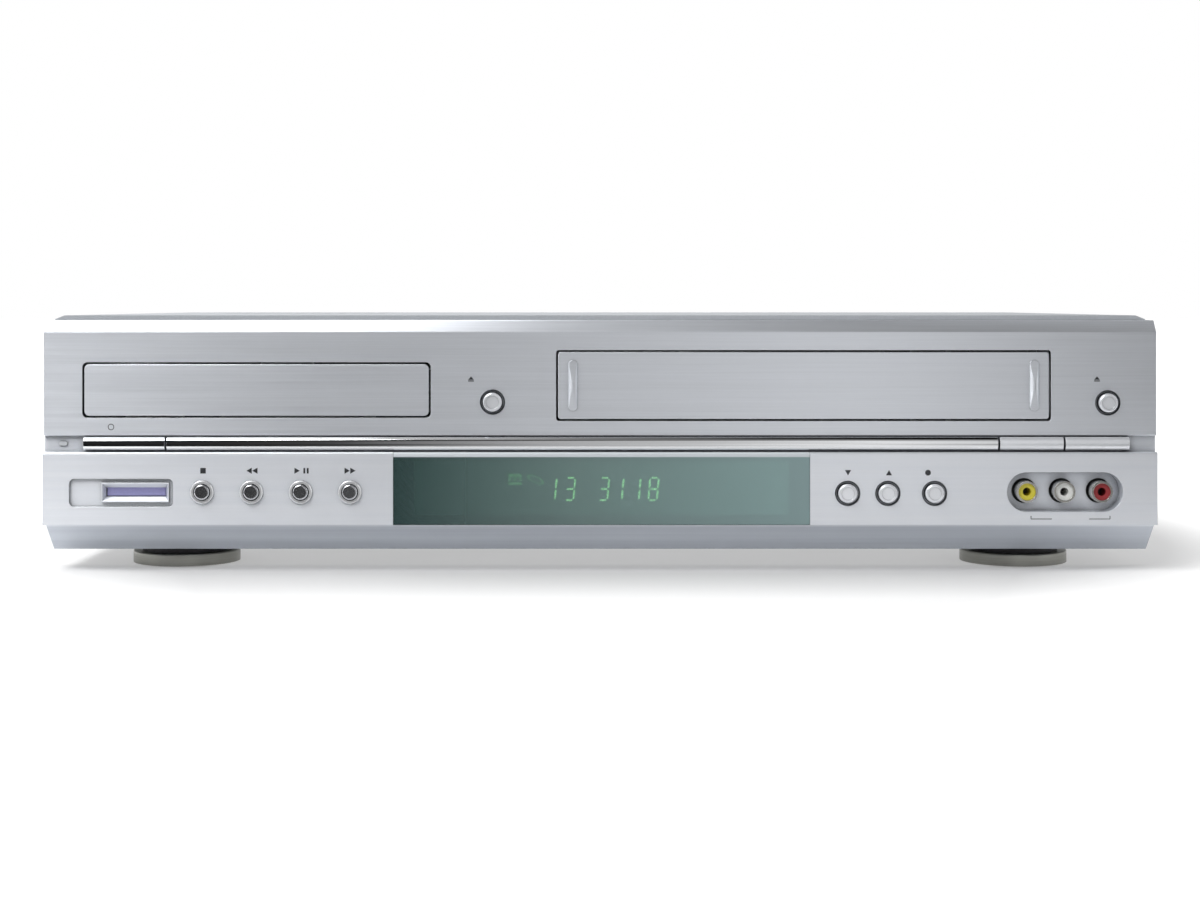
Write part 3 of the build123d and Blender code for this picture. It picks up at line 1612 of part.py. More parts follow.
def cassette_holder():
    """The open cage that takes the cassette: side channels, a holed top and two pins a side."""
    inside = cassette_width / 2 + holder_play
    outside = inside + holder_wall
    front, rear = back(holder_front), back(holder_front + holder_depth)
    floor_low = holder_floor_z - holder_wall
    roof = holder_floor_z + cassette_height + holder_play
    left, right = cassette_x - outside, cassette_x + outside
    cage = block(left, right, front, rear, roof, roof + holder_wall)
    inset = holder_window_inset
    over = roof + holder_wall + 1
    cage -= block(left + 3 * holder_ledge, right - 3 * holder_ledge, front + inset, rear - inset, roof - 1, over)
    for side in (-1, 1):
        outer = cassette_x + side * outside
        inner = cassette_x + side * inside
        ledge = cassette_x + side * (inside - holder_ledge)
        cage += block(min(outer, inner), max(outer, inner), front, rear, floor_low, roof)
        cage += block(min(outer, ledge), max(outer, ledge), front, rear, floor_low, holder_floor_z)
        pin_end = cassette_x + side * (slider_half() + slide_gap)
        for y in holder_pin_ys():
            cage += rod_x(y, holder_pin_z, guide_pin_radius, min(inner, pin_end), max(inner, pin_end))
    return cage


def on_drum_axis(solid):
    """Tips an upright solid, drawn about the drum's foot, to the drum's lean."""
    return Pos(cassette_x, back(drum_setback), deck_top) * (Rot(0, -drum_tilt, 0) * solid)


def lower_drum():
    """The fixed half of the drum, cut level where it sits on the deck, with its bearing post."""
    body = rod_z(0, 0, drum_radius, -drum_radius / 4, lower_drum_height)
    body += rod_z(0, 0, drum_shaft_radius, lower_drum_height, lower_drum_height + upper_drum_height)
    level = block(-overall_width, overall_width, -overall_depth, overall_depth, deck_top - overall_height, deck_top)
    return on_drum_axis(body) - level


def head_drum():
    """The turning half of the drum, a cup with a hub on the bearing post."""
    low = lower_drum_height + drum_joint_gap
    high = low + upper_drum_height
    body = rod_z(0, 0, drum_radius, low, high)
    dish = rod_z(0, 0, drum_radius - drum_rim, high - drum_dish_depth, high + 1)
    dish -= rod_z(0, 0, drum_hub_radius, low, high + 1)
    bore = rod_z(0, 0, drum_shaft_radius + running_gap, low - 1, high + 1)
    return on_drum_axis(body - dish - bore)


def capstan():
    """The capstan's shaft in its bearing, with the flywheel under the deck."""
    x, y = cassette_x + capstan_from_middle, back(capstan_setback)
    wheel_top = deck_low - flywheel_drop
    wheel = rod_z(x, y, flywheel_radius, wheel_top - flywheel_height, wheel_top)
    rim = rod_z(x, y, flywheel_radius - flywheel_rim, wheel_top - flywheel_height - 1, wheel_top - flywheel_web)
    hub = rod_z(x, y, bearing_radius, wheel_top - flywheel_height, deck_low - seat_gap)
    shaft = rod_z(x, y, capstan_radius, wheel_top, deck_top + capstan_height)
    return wheel - rim + hub + shaft


def reel_table(side):
    """One reel table with its three-ribbed spindle, on a pin of the deck."""
    x, y = cassette_x + side * reel_from_middle, back(reel_setback)
    low = deck_top + reel_lift
    table = rod_z(x, y, reel_radius, low, low + reel_height)
    table += rod_z(x, y, spindle_top_radius, low + reel_height, low + reel_height + spindle_top_height)
    reach = spindle_top_radius + reel_rib_reach
    half = reel_rib_wall / 2
    for i in range(reel_rib_count):
        rib = block(0, reach, -half, half, 0, spindle_top_height - reel_rib_drop)
        table += Pos(x, y, low + reel_height) * Rot(0, 0, 360 * i / reel_rib_count) * rib
    pin_top = deck_top + reel_lift + reel_height + running_gap
    return table - rod_z(x, y, reel_pin_radius + running_gap, low - 1, pin_top)


# ---------------------------------------------------------------- boards on the chassis


def main_circuit_board():
    """The main board with its chips and small capacitors."""
    low = floor_z + board_standoff
    board = block(main_board_left, main_board_right, back(main_board_front), back(main_board_rear), low, low + board_wall)
    top = low + board_wall
    y = back(chip_setback)
    for x in fan(chip_count, chip_pitch, cassette_x):
        board += block(x - chip_half, x + chip_half, y - chip_half, y + chip_half, top, top + chip_height)
    y = back(main_board_front + small_capacitor_inset)
    for x in fan(small_capacitor_count, small_capacitor_pitch, cassette_x):
        board += rod_z(x, y, small_capacitor_radius, top, top + small_capacitor_height)
    return board


def power_board():
    low = floor_z + board_standoff
    return block(
        power_board_left, power_board_right, back(power_board_front), back(power_board_rear), low, low + board_wall
    )


def power_parts():
    """Transformer, reservoir capacitors and choke on the power board."""
    low = floor_z + board_standoff + board_wall
    x, y = power_board_right - transformer_width, back(power_board_rear - transformer_from_rear)
    core = block(x, x + transformer_width, y, y + transformer_depth, low, low + transformer_height)
    middle = x + transformer_width / 2
    reach = winding_reach
    core += block(
        middle - winding_half, middle + winding_half, y - reach, y + transformer_depth + reach,
        low + reach, low + transformer_height - reach,
    )
    solids = [core]
    y = back(power_board_front + capacitor_inset)
    for i in range(capacitor_count):
        x = power_board_left + capacitor_inset + capacitor_pitch * i
        solids.append(rod_z(x, y, capacitor_radius, low, low + capacitor_height))
    x, y = power_board_left + choke_inset, back(power_board_rear - choke_from_rear)
    solids.append(rod_z(x, y, choke_radius, low, low + choke_height))
    return solids


# ---------------------------------------------------------------- everything to its file


def nodes():
    """Every node's name and what makes it."""
    found = {
        "feet": feet,
        "foot_rings": foot_rings,
        "bottom_chassis": bottom_chassis,
        "top_cover": top_cover,
        "rear_panel": rear_panel,
        "case_screws": case_screws,
        "front_fascia": front_fascia,
        "chrome_trim": chrome_trim,
        "display_window": display_window,
        "display_tube": display_tube,
        "standby_lamp": standby_lamp,
        "button_rings": button_rings,
        "card_socket": card_socket,
        "card_door": card_door,
        "jack_shells": jack_shells,
        "yellow_jack_inserts": lambda: jack_inserts(0),
        "white_jack_inserts": lambda: jack_inserts(1),
        "red_jack_inserts": lambda: jack_inserts(2),
        "jack_blocks": jack_blocks,
        "ac_inlet": ac_inlet,
        "rf_tuner": rf_tuner,
        "tact_switches": tact_switches,
        "front_circuit_boards": front_circuit_boards,
        "main_circuit_board": main_circuit_board,
        "power_board": power_board,
        "power_parts": power_parts,
        "tray_door": tray_door,
        "disc_tray": disc_tray,
        "loader_frame": loader_frame,
        "loading_gear": loading_gear,
        "loader_belt": loader_belt,
        "loader_motor": loader_motor,
        "traverse_plate": traverse_plate,
        "pickup_rails": pickup_rails,
        "laser_pickup": laser_pickup,
        "turntable": turntable,
        "clamp_bridge": clamp_bridge,
        "disc_clamp": disc_clamp,
        "cassette_door": cassette_door,
        "deck_plate": deck_plate,
        "carriage_frame": carriage_frame,
        "carriage_slider": carriage_slider,
        "cassette_holder": cassette_holder,
        "lower_drum": lower_drum,
        "head_drum": head_drum,
        "capstan": capstan,
        "supply_reel": lambda: reel_table(-1),
        "takeup_reel": lambda: reel_table(1),
    }
    for name, (x, z) in left_key_places().items():
        found[name] = lambda x=x, z=z: round_key(x, z, left_cap_radius, 0, 0)
    for name, (x, z) in right_key_places().items():
        found[name] = lambda x=x, z=z: round_key(x, z, right_cap_radius, 0, cap_hollow)
    for name, (x, z) in upper_key_places().items():
        found[name] = lambda x=x, z=z: round_key(x, z, right_cap_radius, upper_panel_setback, cap_hollow)
    for name, (left, right) in bar_key_spans().items():
        found[name] = lambda left=left, right=right: bar_key(left, right)
    return found


def main():
    os.makedirs("parts", exist_ok=True)
    for name, make in nodes().items():
        made = make()
        shape = Compound(children=made) if isinstance(made, list) else made
        export_step(shape, f"parts/{name}.step")


main()
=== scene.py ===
"""The disc and cassette player, dressed and lit as in the photograph.

Places and sizes are in metres, in millimetres where a name ends in _MM or _mm, and in the photograph's pixels where
it ends in _PX. X runs to the right seen from the front, Y to the back, Z up.
"""

import json
import math

import bpy
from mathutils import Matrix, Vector


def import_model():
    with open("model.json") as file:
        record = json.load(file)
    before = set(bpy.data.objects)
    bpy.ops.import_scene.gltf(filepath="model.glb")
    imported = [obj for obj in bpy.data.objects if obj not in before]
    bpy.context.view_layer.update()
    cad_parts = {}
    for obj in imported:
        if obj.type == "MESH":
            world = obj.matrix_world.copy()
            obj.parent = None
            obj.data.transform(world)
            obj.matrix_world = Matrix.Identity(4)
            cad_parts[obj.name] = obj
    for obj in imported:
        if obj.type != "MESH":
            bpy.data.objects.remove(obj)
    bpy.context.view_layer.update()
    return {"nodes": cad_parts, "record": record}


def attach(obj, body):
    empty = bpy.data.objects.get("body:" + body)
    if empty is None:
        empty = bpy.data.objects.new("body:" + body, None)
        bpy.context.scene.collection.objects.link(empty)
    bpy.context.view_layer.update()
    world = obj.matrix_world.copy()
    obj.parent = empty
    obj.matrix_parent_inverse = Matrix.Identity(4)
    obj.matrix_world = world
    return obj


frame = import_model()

MM = 0.001

# Planes of the object that carry the thin pieces
FRONT_Y_MM = -130.9
REAR_Y_MM = 124.5
UPPER_PANEL_SETBACK_MM = 2.0

# The photograph: camera distance in front of the lower panel, eye height, and pixels per millimetre there
CAMERA_DISTANCE_MM = 779.0
EYE_HEIGHT_MM = 103.8
HORIZON_PX = 303.0
MIDDLE_PX = 600.0
PX_PER_MM = 2.594
IMAGE_WIDTH_PX = 1200.0
IMAGE_HEIGHT_PX = 900.0
SENSOR_MM = 36.0


def spot(px, py, setback_mm):
    """The X and Z, in millimetres, of a pixel of the photograph on a plane this far behind the lower panel."""
    scale = PX_PER_MM * CAMERA_DISTANCE_MM / (CAMERA_DISTANCE_MM + setback_mm)
    return (px - MIDDLE_PX) / scale, EYE_HEIGHT_MM - (py - HORIZON_PX) / scale


# ---------------------------------------------------------------- node tools

# The range that most of a noise lies in, and the rays for each look at an edge or a corner
NOISE_LOW, NOISE_HIGH = 0.3, 0.7
SHAPE_SAMPLES = 4

# The colour sockets of a Mix node
MIX_FIRST, MIX_SECOND, MIX_RESULT = 6, 7, 2

# Painted shade in gaps and inner corners: its colour, how far apart their walls may be, and how open they are where
# the painted shade is full and where it ends
GAP_SHADE_COLOUR = (0.10, 0.105, 0.12)
GAP_SHADE_REACH_MM = 3.5
GAP_SHADE_OPENNESS = (0.2, 0.85)


class Finish:
    """A material under construction: a principled shader and short calls that add procedural nodes."""

    def __init__(self, name):
        self.material = bpy.data.materials.new(name)
        self.material.use_nodes = True
        self.tree = self.material.node_tree
        self.tree.nodes.clear()
        self.output = self.add("OutputMaterial")
        self.shader = self.add("BsdfPrincipled")
        self.show(self.shader)
        self.place = self.add("TexCoord").outputs["Object"]

    def add(self, kind):
        return self.tree.nodes.new("ShaderNode" + kind)

    def link(self, source, target):
        self.tree.links.new(source, target)

    def show(self, shader):
        """Makes this shader what the material shows."""
        self.link(shader.outputs[0], self.output.inputs["Surface"])

    def set(self, **values):
        """Sets the shader's own sockets, with underscores for the spaces in their names."""
        for name, value in values.items():
            self.shader.inputs[name.replace("_", " ")].default_value = value
        return self

    def noise(self, grain, detail=3.0, roughness=0.55):
        """Noise with this many features per metre along X, Y and Z."""
        mapping = self.add("Mapping")
        mapping.inputs["Scale"].default_value = grain
        self.link(self.place, mapping.inputs["Vector"])
        made = self.add("TexNoise")
        made.inputs["Scale"].default_value = 1.0
        made.inputs["Detail"].default_value = detail
        made.inputs["Roughness"].default_value = roughness
        self.link(mapping.outputs[0], made.inputs["Vector"])
        return made.outputs["Fac"]

    def cells(self, per_metre):
        """Crystal-like cells, each of one random value."""
        made = self.add("TexVoronoi")
        made.inputs["Scale"].default_value = per_metre
        self.link(self.place, made.inputs["Vector"])
        grey = self.add("SeparateColor")
        self.link(made.outputs["Color"], grey.inputs[0])
        return grey.outputs[0]

    def axis(self, name, low, high):
        """0 to 1 along one axis, between two places."""
        split = self.add("SeparateXYZ")
        self.link(self.place, split.inputs[0])
        return self.between(split.outputs[name], low, high)

    def between(self, value, from_low, from_high, to_low=0.0, to_high=1.0):
        """A value moved from one range to another, and held inside it."""
        made = self.add("MapRange")
        self.link(value, made.inputs["Value"])
        for name, number in zip(("From Min", "From Max", "To Min", "To Max"), (from_low, from_high, to_low, to_high)):
            made.inputs[name].default_value = number
        return made.outputs["Result"]

    def ramp(self, value, stops):
        """Colours at places from 0 to 1."""
        made = self.add("ValToRGB")
        points = made.color_ramp.elements
        while len(points) < len(stops):
            points.new(0.5)
        for point, (where, colour) in zip(points, stops):
            point.position = where
            point.color = (*colour, 1.0)
        self.link(value, made.inputs["Fac"])
        return made.outputs["Color"]

    def mix(self, factor, first, second):
        """Two colours mixed. The factor is a number or a socket, a colour three numbers or a socket."""
        made = self.add("Mix")
        made.data_type = "RGBA"
        for value, socket in ((factor, made.inputs["Factor"]), (first, made.inputs[MIX_FIRST]),
                              (second, made.inputs[MIX_SECOND])):
            if isinstance(value, float):
                socket.default_value = value
            elif isinstance(value, tuple):
                socket.default_value = (*value, 1.0)
            else:
                self.link(value, socket)
        return made.outputs[MIX_RESULT]

    def gap_shaded(self, colour):
        """The colour, darkened by painted shade in gaps and inner corners."""
        corner = self.add("AmbientOcclusion")
        corner.samples = SHAPE_SAMPLES
        corner.inputs["Distance"].default_value = GAP_SHADE_REACH_MM * MM
        return self.mix(self.between(corner.outputs["AO"], *GAP_SHADE_OPENNESS), GAP_SHADE_COLOUR, colour)

    def colour(self, source):
        self.link(source, self.shader.inputs["Base Color"])

    def rough(self, source, low, high):
        self.link(self.between(source, NOISE_LOW, NOISE_HIGH, low, high), self.shader.inputs["Roughness"])

    def relief(self, height, strength, depth_mm, edge_mm=0.0):
        """Bump from a height, on edges rounded by edge_mm."""
        made = self.add("Bump")
        made.inputs["Strength"].default_value = strength
        made.inputs["Distance"].default_value = depth_mm * MM
        self.link(height, made.inputs["Height"])
        if edge_mm:
            edge = self.add("Bevel")
            edge.samples = SHAPE_SAMPLES
            edge.inputs["Radius"].default_value = edge_mm * MM
            self.link(edge.outputs[0], made.inputs["Normal"])
        self.link(made.outputs[0], self.shader.inputs["Normal"])


def shades(colour, spread):
    """Two stops a little darker and a little lighter than the colour."""
    low = tuple(c * (1 - spread) for c in colour)
    high = tuple(min(1.0, c * (1 + spread)) for c in colour)
    return [(NOISE_LOW, low), (NOISE_HIGH, high)]


def greys(stops):
    """Stops of a ramp, from single grey levels."""
    return [(where, (tone, tone, tone)) for where, tone in stops]


# ---------------------------------------------------------------- finishes of their own

# The silver: features per metre, and the tones of its hairline, of its slow drifts, of the lower panel, lighter
# as painted light, and of the leaning edge underneath, darker as painted shade
HAIRLINE = (14.0, 1500.0, 1500.0)
STREAKS = (5.0, 260.0, 260.0)
HAIRLINE_STOPS = [(0.25, (0.77, 0.80, 0.85)), (0.75, (0.90, 0.93, 0.98))]
DRIFT_STOPS = [(0.3, (0.82, 0.85, 0.90)), (0.7, (0.87, 0.90, 0.96))]
LOWER_PAINTED_LIGHT_STOPS = [(0.3, (0.88, 0.91, 0.97)), (0.7, (0.94, 0.96, 1.0))]
LEANING_PAINTED_SHADE_STOPS = [(0.3, (0.58, 0.615, 0.68)), (0.7, (0.65, 0.69, 0.75))]
DRIFT_SHARE = 0.4
LOWER_PAINTED_LIGHT_SHARE = 0.6
LOWER_METALLIC, UPPER_METALLIC = 0.62, 0.82

# Heights between which the silver changes its tone: at the leaning edge's top, below which its shade is painted, and
# in the band, below which the lower panel is painted lighter
LEANING_TOP = (0.0172, 0.0186)
BAND = (0.047, 0.052)

# The window: its sides, the height where its silver lip starts, its colours from left to right, lighter towards the
# right as a painted reflection, its opaque share, and the colour that the rest lets through
WINDOW_SIDES = (-0.080, 0.081)
LIP_START = (0.0442, 0.0446)
TINT_AND_PAINTED_REFLECTION_STOPS = [(0.0, (0.055, 0.102, 0.100)), (0.45, (0.240, 0.345, 0.335)), (1.0, (0.400, 0.560, 0.570))]
LIP_STOPS = [(0.0, (0.70, 0.74, 0.78)), (1.0, (0.62, 0.66, 0.70))]
WINDOW_OPAQUE = 0.62
CLEAR_GREEN = (0.62, 0.85, 0.76, 1.0)

ZINC_CRYSTALS = 190.0
ZINC_STOPS = [(0.1, (0.50, 0.51, 0.52)), (0.9, (0.56, 0.57, 0.58))]

# Circuit board: bricks per metre, the two greens of the resist, and its copper showing through
TRACKS = 120.0
TRACK_COLOURS = {
    "Color1": (0.012, 0.110, 0.040, 1.0),
    "Color2": (0.016, 0.150, 0.052, 1.0),
    "Mortar": (0.050, 0.250, 0.090, 1.0),
}


def silver_plastic():
    """Silver paint with a hairline brushed along X, over slow drifts in tone; painted light makes the lower panel
    lighter, and painted shade darkens the leaning edge and the gaps.
    """
    made = Finish("silver_plastic").set(Anisotropic=0.85, Anisotropic_Rotation=0.25)
    hairline = made.noise(HAIRLINE, detail=4.0, roughness=0.7)
    streak = made.noise(STREAKS, detail=2.0)
    brushed = made.mix(DRIFT_SHARE, made.ramp(hairline, HAIRLINE_STOPS), made.ramp(streak, DRIFT_STOPS))
    # Painted light: the lower panel a shade lighter than the upper
    lower_panel_painted_light = made.mix(LOWER_PAINTED_LIGHT_SHARE, brushed, made.ramp(streak, LOWER_PAINTED_LIGHT_STOPS))
    upper = made.axis("Z", *BAND)
    front = made.mix(upper, lower_panel_painted_light, brushed)
    # Painted shade: the leaning edge underneath darker than the panels
    painted = made.mix(made.axis("Z", *LEANING_TOP), made.ramp(streak, LEANING_PAINTED_SHADE_STOPS), front)
    made.colour(made.gap_shaded(painted))
    made.link(made.between(upper, 0.0, 1.0, LOWER_METALLIC, UPPER_METALLIC), made.shader.inputs["Metallic"])
    made.rough(hairline, 0.40, 0.50)
    made.relief(hairline, 0.10, 0.04, 0.35)
    return made.material


def zinc_steel():
    """Zinc with its flat crystals, faint ones."""
    made = Finish("zinc_steel").set(Metallic=1.0)
    crystals = made.cells(ZINC_CRYSTALS)
    made.colour(made.ramp(crystals, ZINC_STOPS))
    made.rough(crystals, 0.38, 0.46)
    made.relief(made.noise((900.0, 900.0, 900.0)), 0.08, 0.04)
    return made.material


def window_tint():
    """Green smoked plastic, lightened towards the right by a painted reflection and partly see-through, with a silver
    lip along its top.
    """
    made = Finish("window_tint").set(Roughness=0.07, IOR=1.49)
    across = made.axis("X", *WINDOW_SIDES)
    lip = made.axis("Z", *LIP_START)
    # Painted reflection: the tint grows lighter towards the right
    made.colour(made.mix(lip, made.ramp(across, TINT_AND_PAINTED_REFLECTION_STOPS), made.ramp(across, LIP_STOPS)))
    made.relief(made.noise((300.0, 300.0, 300.0)), 0.01, 0.004, 0.4)
    clear = made.add("BsdfTransparent")
    clear.inputs["Color"].default_value = CLEAR_GREEN
    both = made.add("MixShader")
    made.link(made.between(lip, 0.0, 1.0, WINDOW_OPAQUE, 1.0), both.inputs["Fac"])
    made.link(clear.outputs[0], both.inputs[1])
    made.link(made.shader.outputs[0], both.inputs[2])
    made.show(both)
    return made.material


def green_board():
    """Solder resist over copper tracks."""
    made = Finish("green_board").set(Coat_Weight=0.4, Coat_Roughness=0.15)
    tracks = made.add("TexBrick")
    tracks.inputs["Scale"].default_value = TRACKS
    for name, colour in TRACK_COLOURS.items():
        tracks.inputs[name].default_value = colour
    made.link(made.place, tracks.inputs["Vector"])
    made.colour(tracks.outputs["Color"])
    made.rough(made.noise((400.0, 400.0, 400.0)), 0.35, 0.5)
    made.relief(tracks.outputs["Fac"], 0.2, 0.05)
    return made.material


def lit_segments(name, colour, strength):
    """Phosphor that glows, a little uneven."""
    made = Finish(name).set(Roughness=0.6, Emission_Strength=strength)
    glow = made.ramp(made.noise((900.0, 900.0, 900.0)), shades(colour, 0.1))
    made.colour(glow)
    made.link(glow, made.shader.inputs["Emission Color"])
    return made.material


# ---------------------------------------------------------------- plain finishes

FINE = (1600.0, 1600.0, 1600.0)
COARSE = (120.0, 120.0, 120.0)
SPUN_RING = (30.0, 30.0, 2600.0)
TURNED = (60.0, 60.0, 3000.0)

# How much coarser than the grain the changes in gloss are
GLOSS_COARSER = 7

# For each slot: the colour and its spread, the lowest and highest roughness, the bump's strength and depth
# in millimetres, and where they aren't the usual the grain, the metallic share, the rounding of edges and
# whether painted shade darkens gaps and inner corners
PLAIN_FINISHES = {
    "grey_paint": dict(colour=(0.44, 0.46, 0.49), spread=0.05, rough=(0.55, 0.7), bump=(0.25, 0.05), edge_mm=0.3),
    "chrome": dict(
        colour=(0.86, 0.87, 0.89), spread=0.01, rough=(0.04, 0.08), bump=(0.01, 0.01), metallic=1.0, edge_mm=0.15
    ),
    "tube_glass": dict(colour=(0.02, 0.035, 0.03), spread=0.2, rough=(0.08, 0.14), bump=(0.02, 0.02)),
    "silver_key": dict(
        colour=(0.88, 0.90, 0.94), spread=0.015, rough=(0.20, 0.26), bump=(0.01, 0.01), metallic=0.5, edge_mm=0.3,
        gap_shade=True
    ),
    "clear_plastic": dict(colour=(0.62, 0.64, 0.67), spread=0.02, rough=(0.15, 0.25), bump=(0.02, 0.01), edge_mm=0.2),
    "dark_key": dict(
        colour=(0.62, 0.63, 0.66), spread=0.04, rough=(0.14, 0.20), bump=(0.02, 0.01), metallic=0.95, edge_mm=0.3,
        gap_shade=True
    ),
    "foot_plastic": dict(colour=(0.022, 0.022, 0.024), spread=0.2, rough=(0.5, 0.7), bump=(0.3, 0.08), edge_mm=0.3),
    "foot_metal": dict(
        colour=(0.29, 0.29, 0.265), spread=0.12, rough=(0.26, 0.38), bump=(0.15, 0.04), grain=SPUN_RING,
        metallic=1.0, edge_mm=0.2
    ),
    "black_plastic": dict(colour=(0.03, 0.03, 0.032), spread=0.2, rough=(0.4, 0.55), bump=(0.25, 0.05)),
    "grey_plastic": dict(colour=(0.26, 0.27, 0.29), spread=0.1, rough=(0.4, 0.55), bump=(0.2, 0.05)),
    "violet_plastic": dict(colour=(0.42, 0.41, 0.74), spread=0.06, rough=(0.28, 0.38), bump=(0.1, 0.03)),
    "shell_metal": dict(
        colour=(0.72, 0.71, 0.68), spread=0.05, rough=(0.14, 0.24), bump=(0.05, 0.02), metallic=1.0, edge_mm=0.15
    ),
    "yellow_plastic": dict(colour=(0.70, 0.61, 0.05), spread=0.06, rough=(0.3, 0.42), bump=(0.1, 0.03)),
    "white_plastic": dict(colour=(0.80, 0.81, 0.79), spread=0.03, rough=(0.3, 0.42), bump=(0.1, 0.03)),
    "red_plastic": dict(colour=(0.34, 0.03, 0.035), spread=0.08, rough=(0.3, 0.42), bump=(0.1, 0.03)),
    "parts_mix": dict(colour=(0.07, 0.07, 0.08), spread=0.3, rough=(0.35, 0.6), bump=(0.2, 0.05), grain=COARSE),
    "rubber_belt": dict(colour=(0.02, 0.02, 0.02), spread=0.2, rough=(0.6, 0.8), bump=(0.3, 0.05)),
    "machined_alloy": dict(
        colour=(0.70, 0.71, 0.72), spread=0.05, rough=(0.12, 0.22), bump=(0.1, 0.02), grain=TURNED, metallic=1.0
    ),
    "white_acetal": dict(colour=(0.78, 0.78, 0.74), spread=0.04, rough=(0.35, 0.48), bump=(0.1, 0.03)),
}


def plain_finish(name, colour, spread, rough, bump, grain=FINE, metallic=0.0, edge_mm=0.0, gap_shade=False):
    """A finish with fine grain in its colour, its gloss and its surface."""
    made = Finish(name).set(Metallic=metallic)
    grains = made.noise(grain)
    tones = made.ramp(grains, shades(colour, spread))
    # Where the slot asks for it, painted shade darkens the colour in gaps and inner corners
    made.colour(made.gap_shaded(tones) if gap_shade else tones)
    made.rough(made.noise(tuple(g / GLOSS_COARSER for g in grain)), *rough)
    made.relief(grains, *bump, edge_mm)
    return made.material


FINISHES = {
    "silver_plastic": silver_plastic(),
    "zinc_steel": zinc_steel(),
    "window_tint": window_tint(),
    "green_board": green_board(),
}
for plain_slot, slot_facts in PLAIN_FINISHES.items():
    FINISHES[plain_slot] = plain_finish(plain_slot, **slot_facts)

# The key rings, with painted shade in the gaps round them
RING_METAL = plain_finish(
    "ring_metal", colour=(0.90, 0.91, 0.93), spread=0.01, rough=(0.16, 0.24), bump=(0.01, 0.01), metallic=0.5,
    edge_mm=0.15, gap_shade=True
)
INK = plain_finish("ink", colour=(0.035, 0.036, 0.042), spread=0.2, rough=(0.5, 0.6), bump=(0.1, 0.01))
# Near black: painted shade for the screws' cross recesses
PAINTED_RECESS_SHADE = plain_finish(
    "recess_painted_shade", colour=(0.05, 0.05, 0.05), spread=0.3, rough=(0.5, 0.6), bump=(0.1, 0.01), metallic=0.6
)
DIGITS = lit_segments("lit_digits", (0.62, 0.95, 0.42), 2.6)
DIM_ICONS = lit_segments("lit_icons", (0.35, 0.70, 0.25), 0.9)

# Nodes that don't take the finish of their slot: the key rings, paler than the trim
OWN_FINISHES = {"button_rings": RING_METAL}


def dress_frame():
    """Every CAD node takes the finish of its slot in the record, or its own."""
    for part in frame["record"]["subparts"]:
        obj = frame["nodes"][part["node"]]
        obj.data.materials.clear()
        obj.data.materials.append(OWN_FINISHES.get(part["node"], FINISHES[part["material_slot"]]))


# ---------------------------------------------------------------- outlines and plates


def plates(name, outlines, plane, thickness_mm, body, material):
    """Flat outlines made solid, as one piece. plane turns a point of an outline, and how far it stands
    proud, into X, Y and Z; all of it in millimetres."""
    vertices, faces = [], []
    for outline in outlines:
        first = len(vertices)
        count = len(outline)
        for proud in (0.0, thickness_mm):
            vertices += [Vector(plane(a, b, proud)) * MM for a, b in outline]
        faces.append([first + i for i in range(count)])
        faces.append([first + count + i for i in reversed(range(count))])
        for i in range(count):
            j = (i + 1) % count
            faces.append([first + i, first + count + i, first + count + j, first + j])
    mesh = bpy.data.meshes.new(name)
    mesh.from_pydata(vertices, [], faces)
    mesh.update()
    obj = bpy.data.objects.new(name, mesh)
    bpy.context.scene.collection.objects.link(obj)
    obj.data.materials.append(material)
    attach(obj, body)


def facing_front(setback_mm):
    """Outlines drawn in X and Z, standing proud towards the viewer."""
    return lambda x, z, proud: (x, FRONT_Y_MM + setback_mm - proud, z)


def moved(outline, x, z, lean=0.0):
    """An outline shifted to a place, its top leaning right by this share of its height."""
    return [(x + a + lean * b, z + b) for a, b in outline]


def box_outline(width, height):
    a, b = width / 2, height / 2
    return [(-a, -b), (a, -b), (a, b), (-a, b)]


def triangle_right(width, height):
    return [(-width / 2, -height / 2), (width / 2, 0.0), (-width / 2, height / 2)]


def triangle_up(width, height):
    return [(-width / 2, -height / 2), (width / 2, -height / 2), (0.0, height / 2)]


def flipped(outline, across=1, up=1):
    return [(across * a, up * b) for a, b in outline]


def disc_outline(radius, count=24):
    turns = [2 * math.pi * i / count for i in range(count)]
    return [(radius * math.cos(a), radius * math.sin(a)) for a in turns]


def ring_outlines(radius, width, steps=14):
    """A round stripe about the origin, as a row of small outlines."""
    made = []
    for i in range(steps):
        a = math.radians(360 * i / steps)
        b = math.radians(360 * (i + 1) / steps)
        inner, outer = radius - width / 2, radius + width / 2
        made.append(
            [
                (inner * math.cos(a), inner * math.sin(a)),
                (outer * math.cos(a), outer * math.sin(a)),
                (outer * math.cos(b), outer * math.sin(b)),
                (inner * math.cos(b), inner * math.sin(b)),
            ]
        )
    return made


# ---------------------------------------------------------------- printed pictograms

INK_MM = 0.04

# Middles of the pictograms over the lower panel's keys
LEFT_ROW_PX, RIGHT_ROW_PX = 470.7, 472.7
STOP_PX, REWIND_PX, PLAY_PX, FORWARD_PX = 203, 252, 302, 350
DOWN_PX, UP_PX, RECORD_PX = 848, 889, 928

SQUARE_MM = 2.1
ARROW_MM = (2.0, 2.3)
ARROW_PAIR_MM = (-1.1, 1.1)
PLAY_ARROW_MM = -1.9
PAUSE_BARS_MM = (0.9, 2.2)
PAUSE_BAR_WIDTH_MM = 0.7
CHANNEL_ARROW_MM = (2.3, 2.0)
RECORD_RADIUS_MM = 1.1

# The bracket that ties the three sockets together
BRACKET_LEFT_PX, BRACKET_RIGHT_PX, BRACKET_HEIGHT_PX = 1031, 1110, 519
BRACKET_ARM_MM, BRACKET_END_MM, BRACKET_LINE_MM = 8.0, 1.2, 0.25

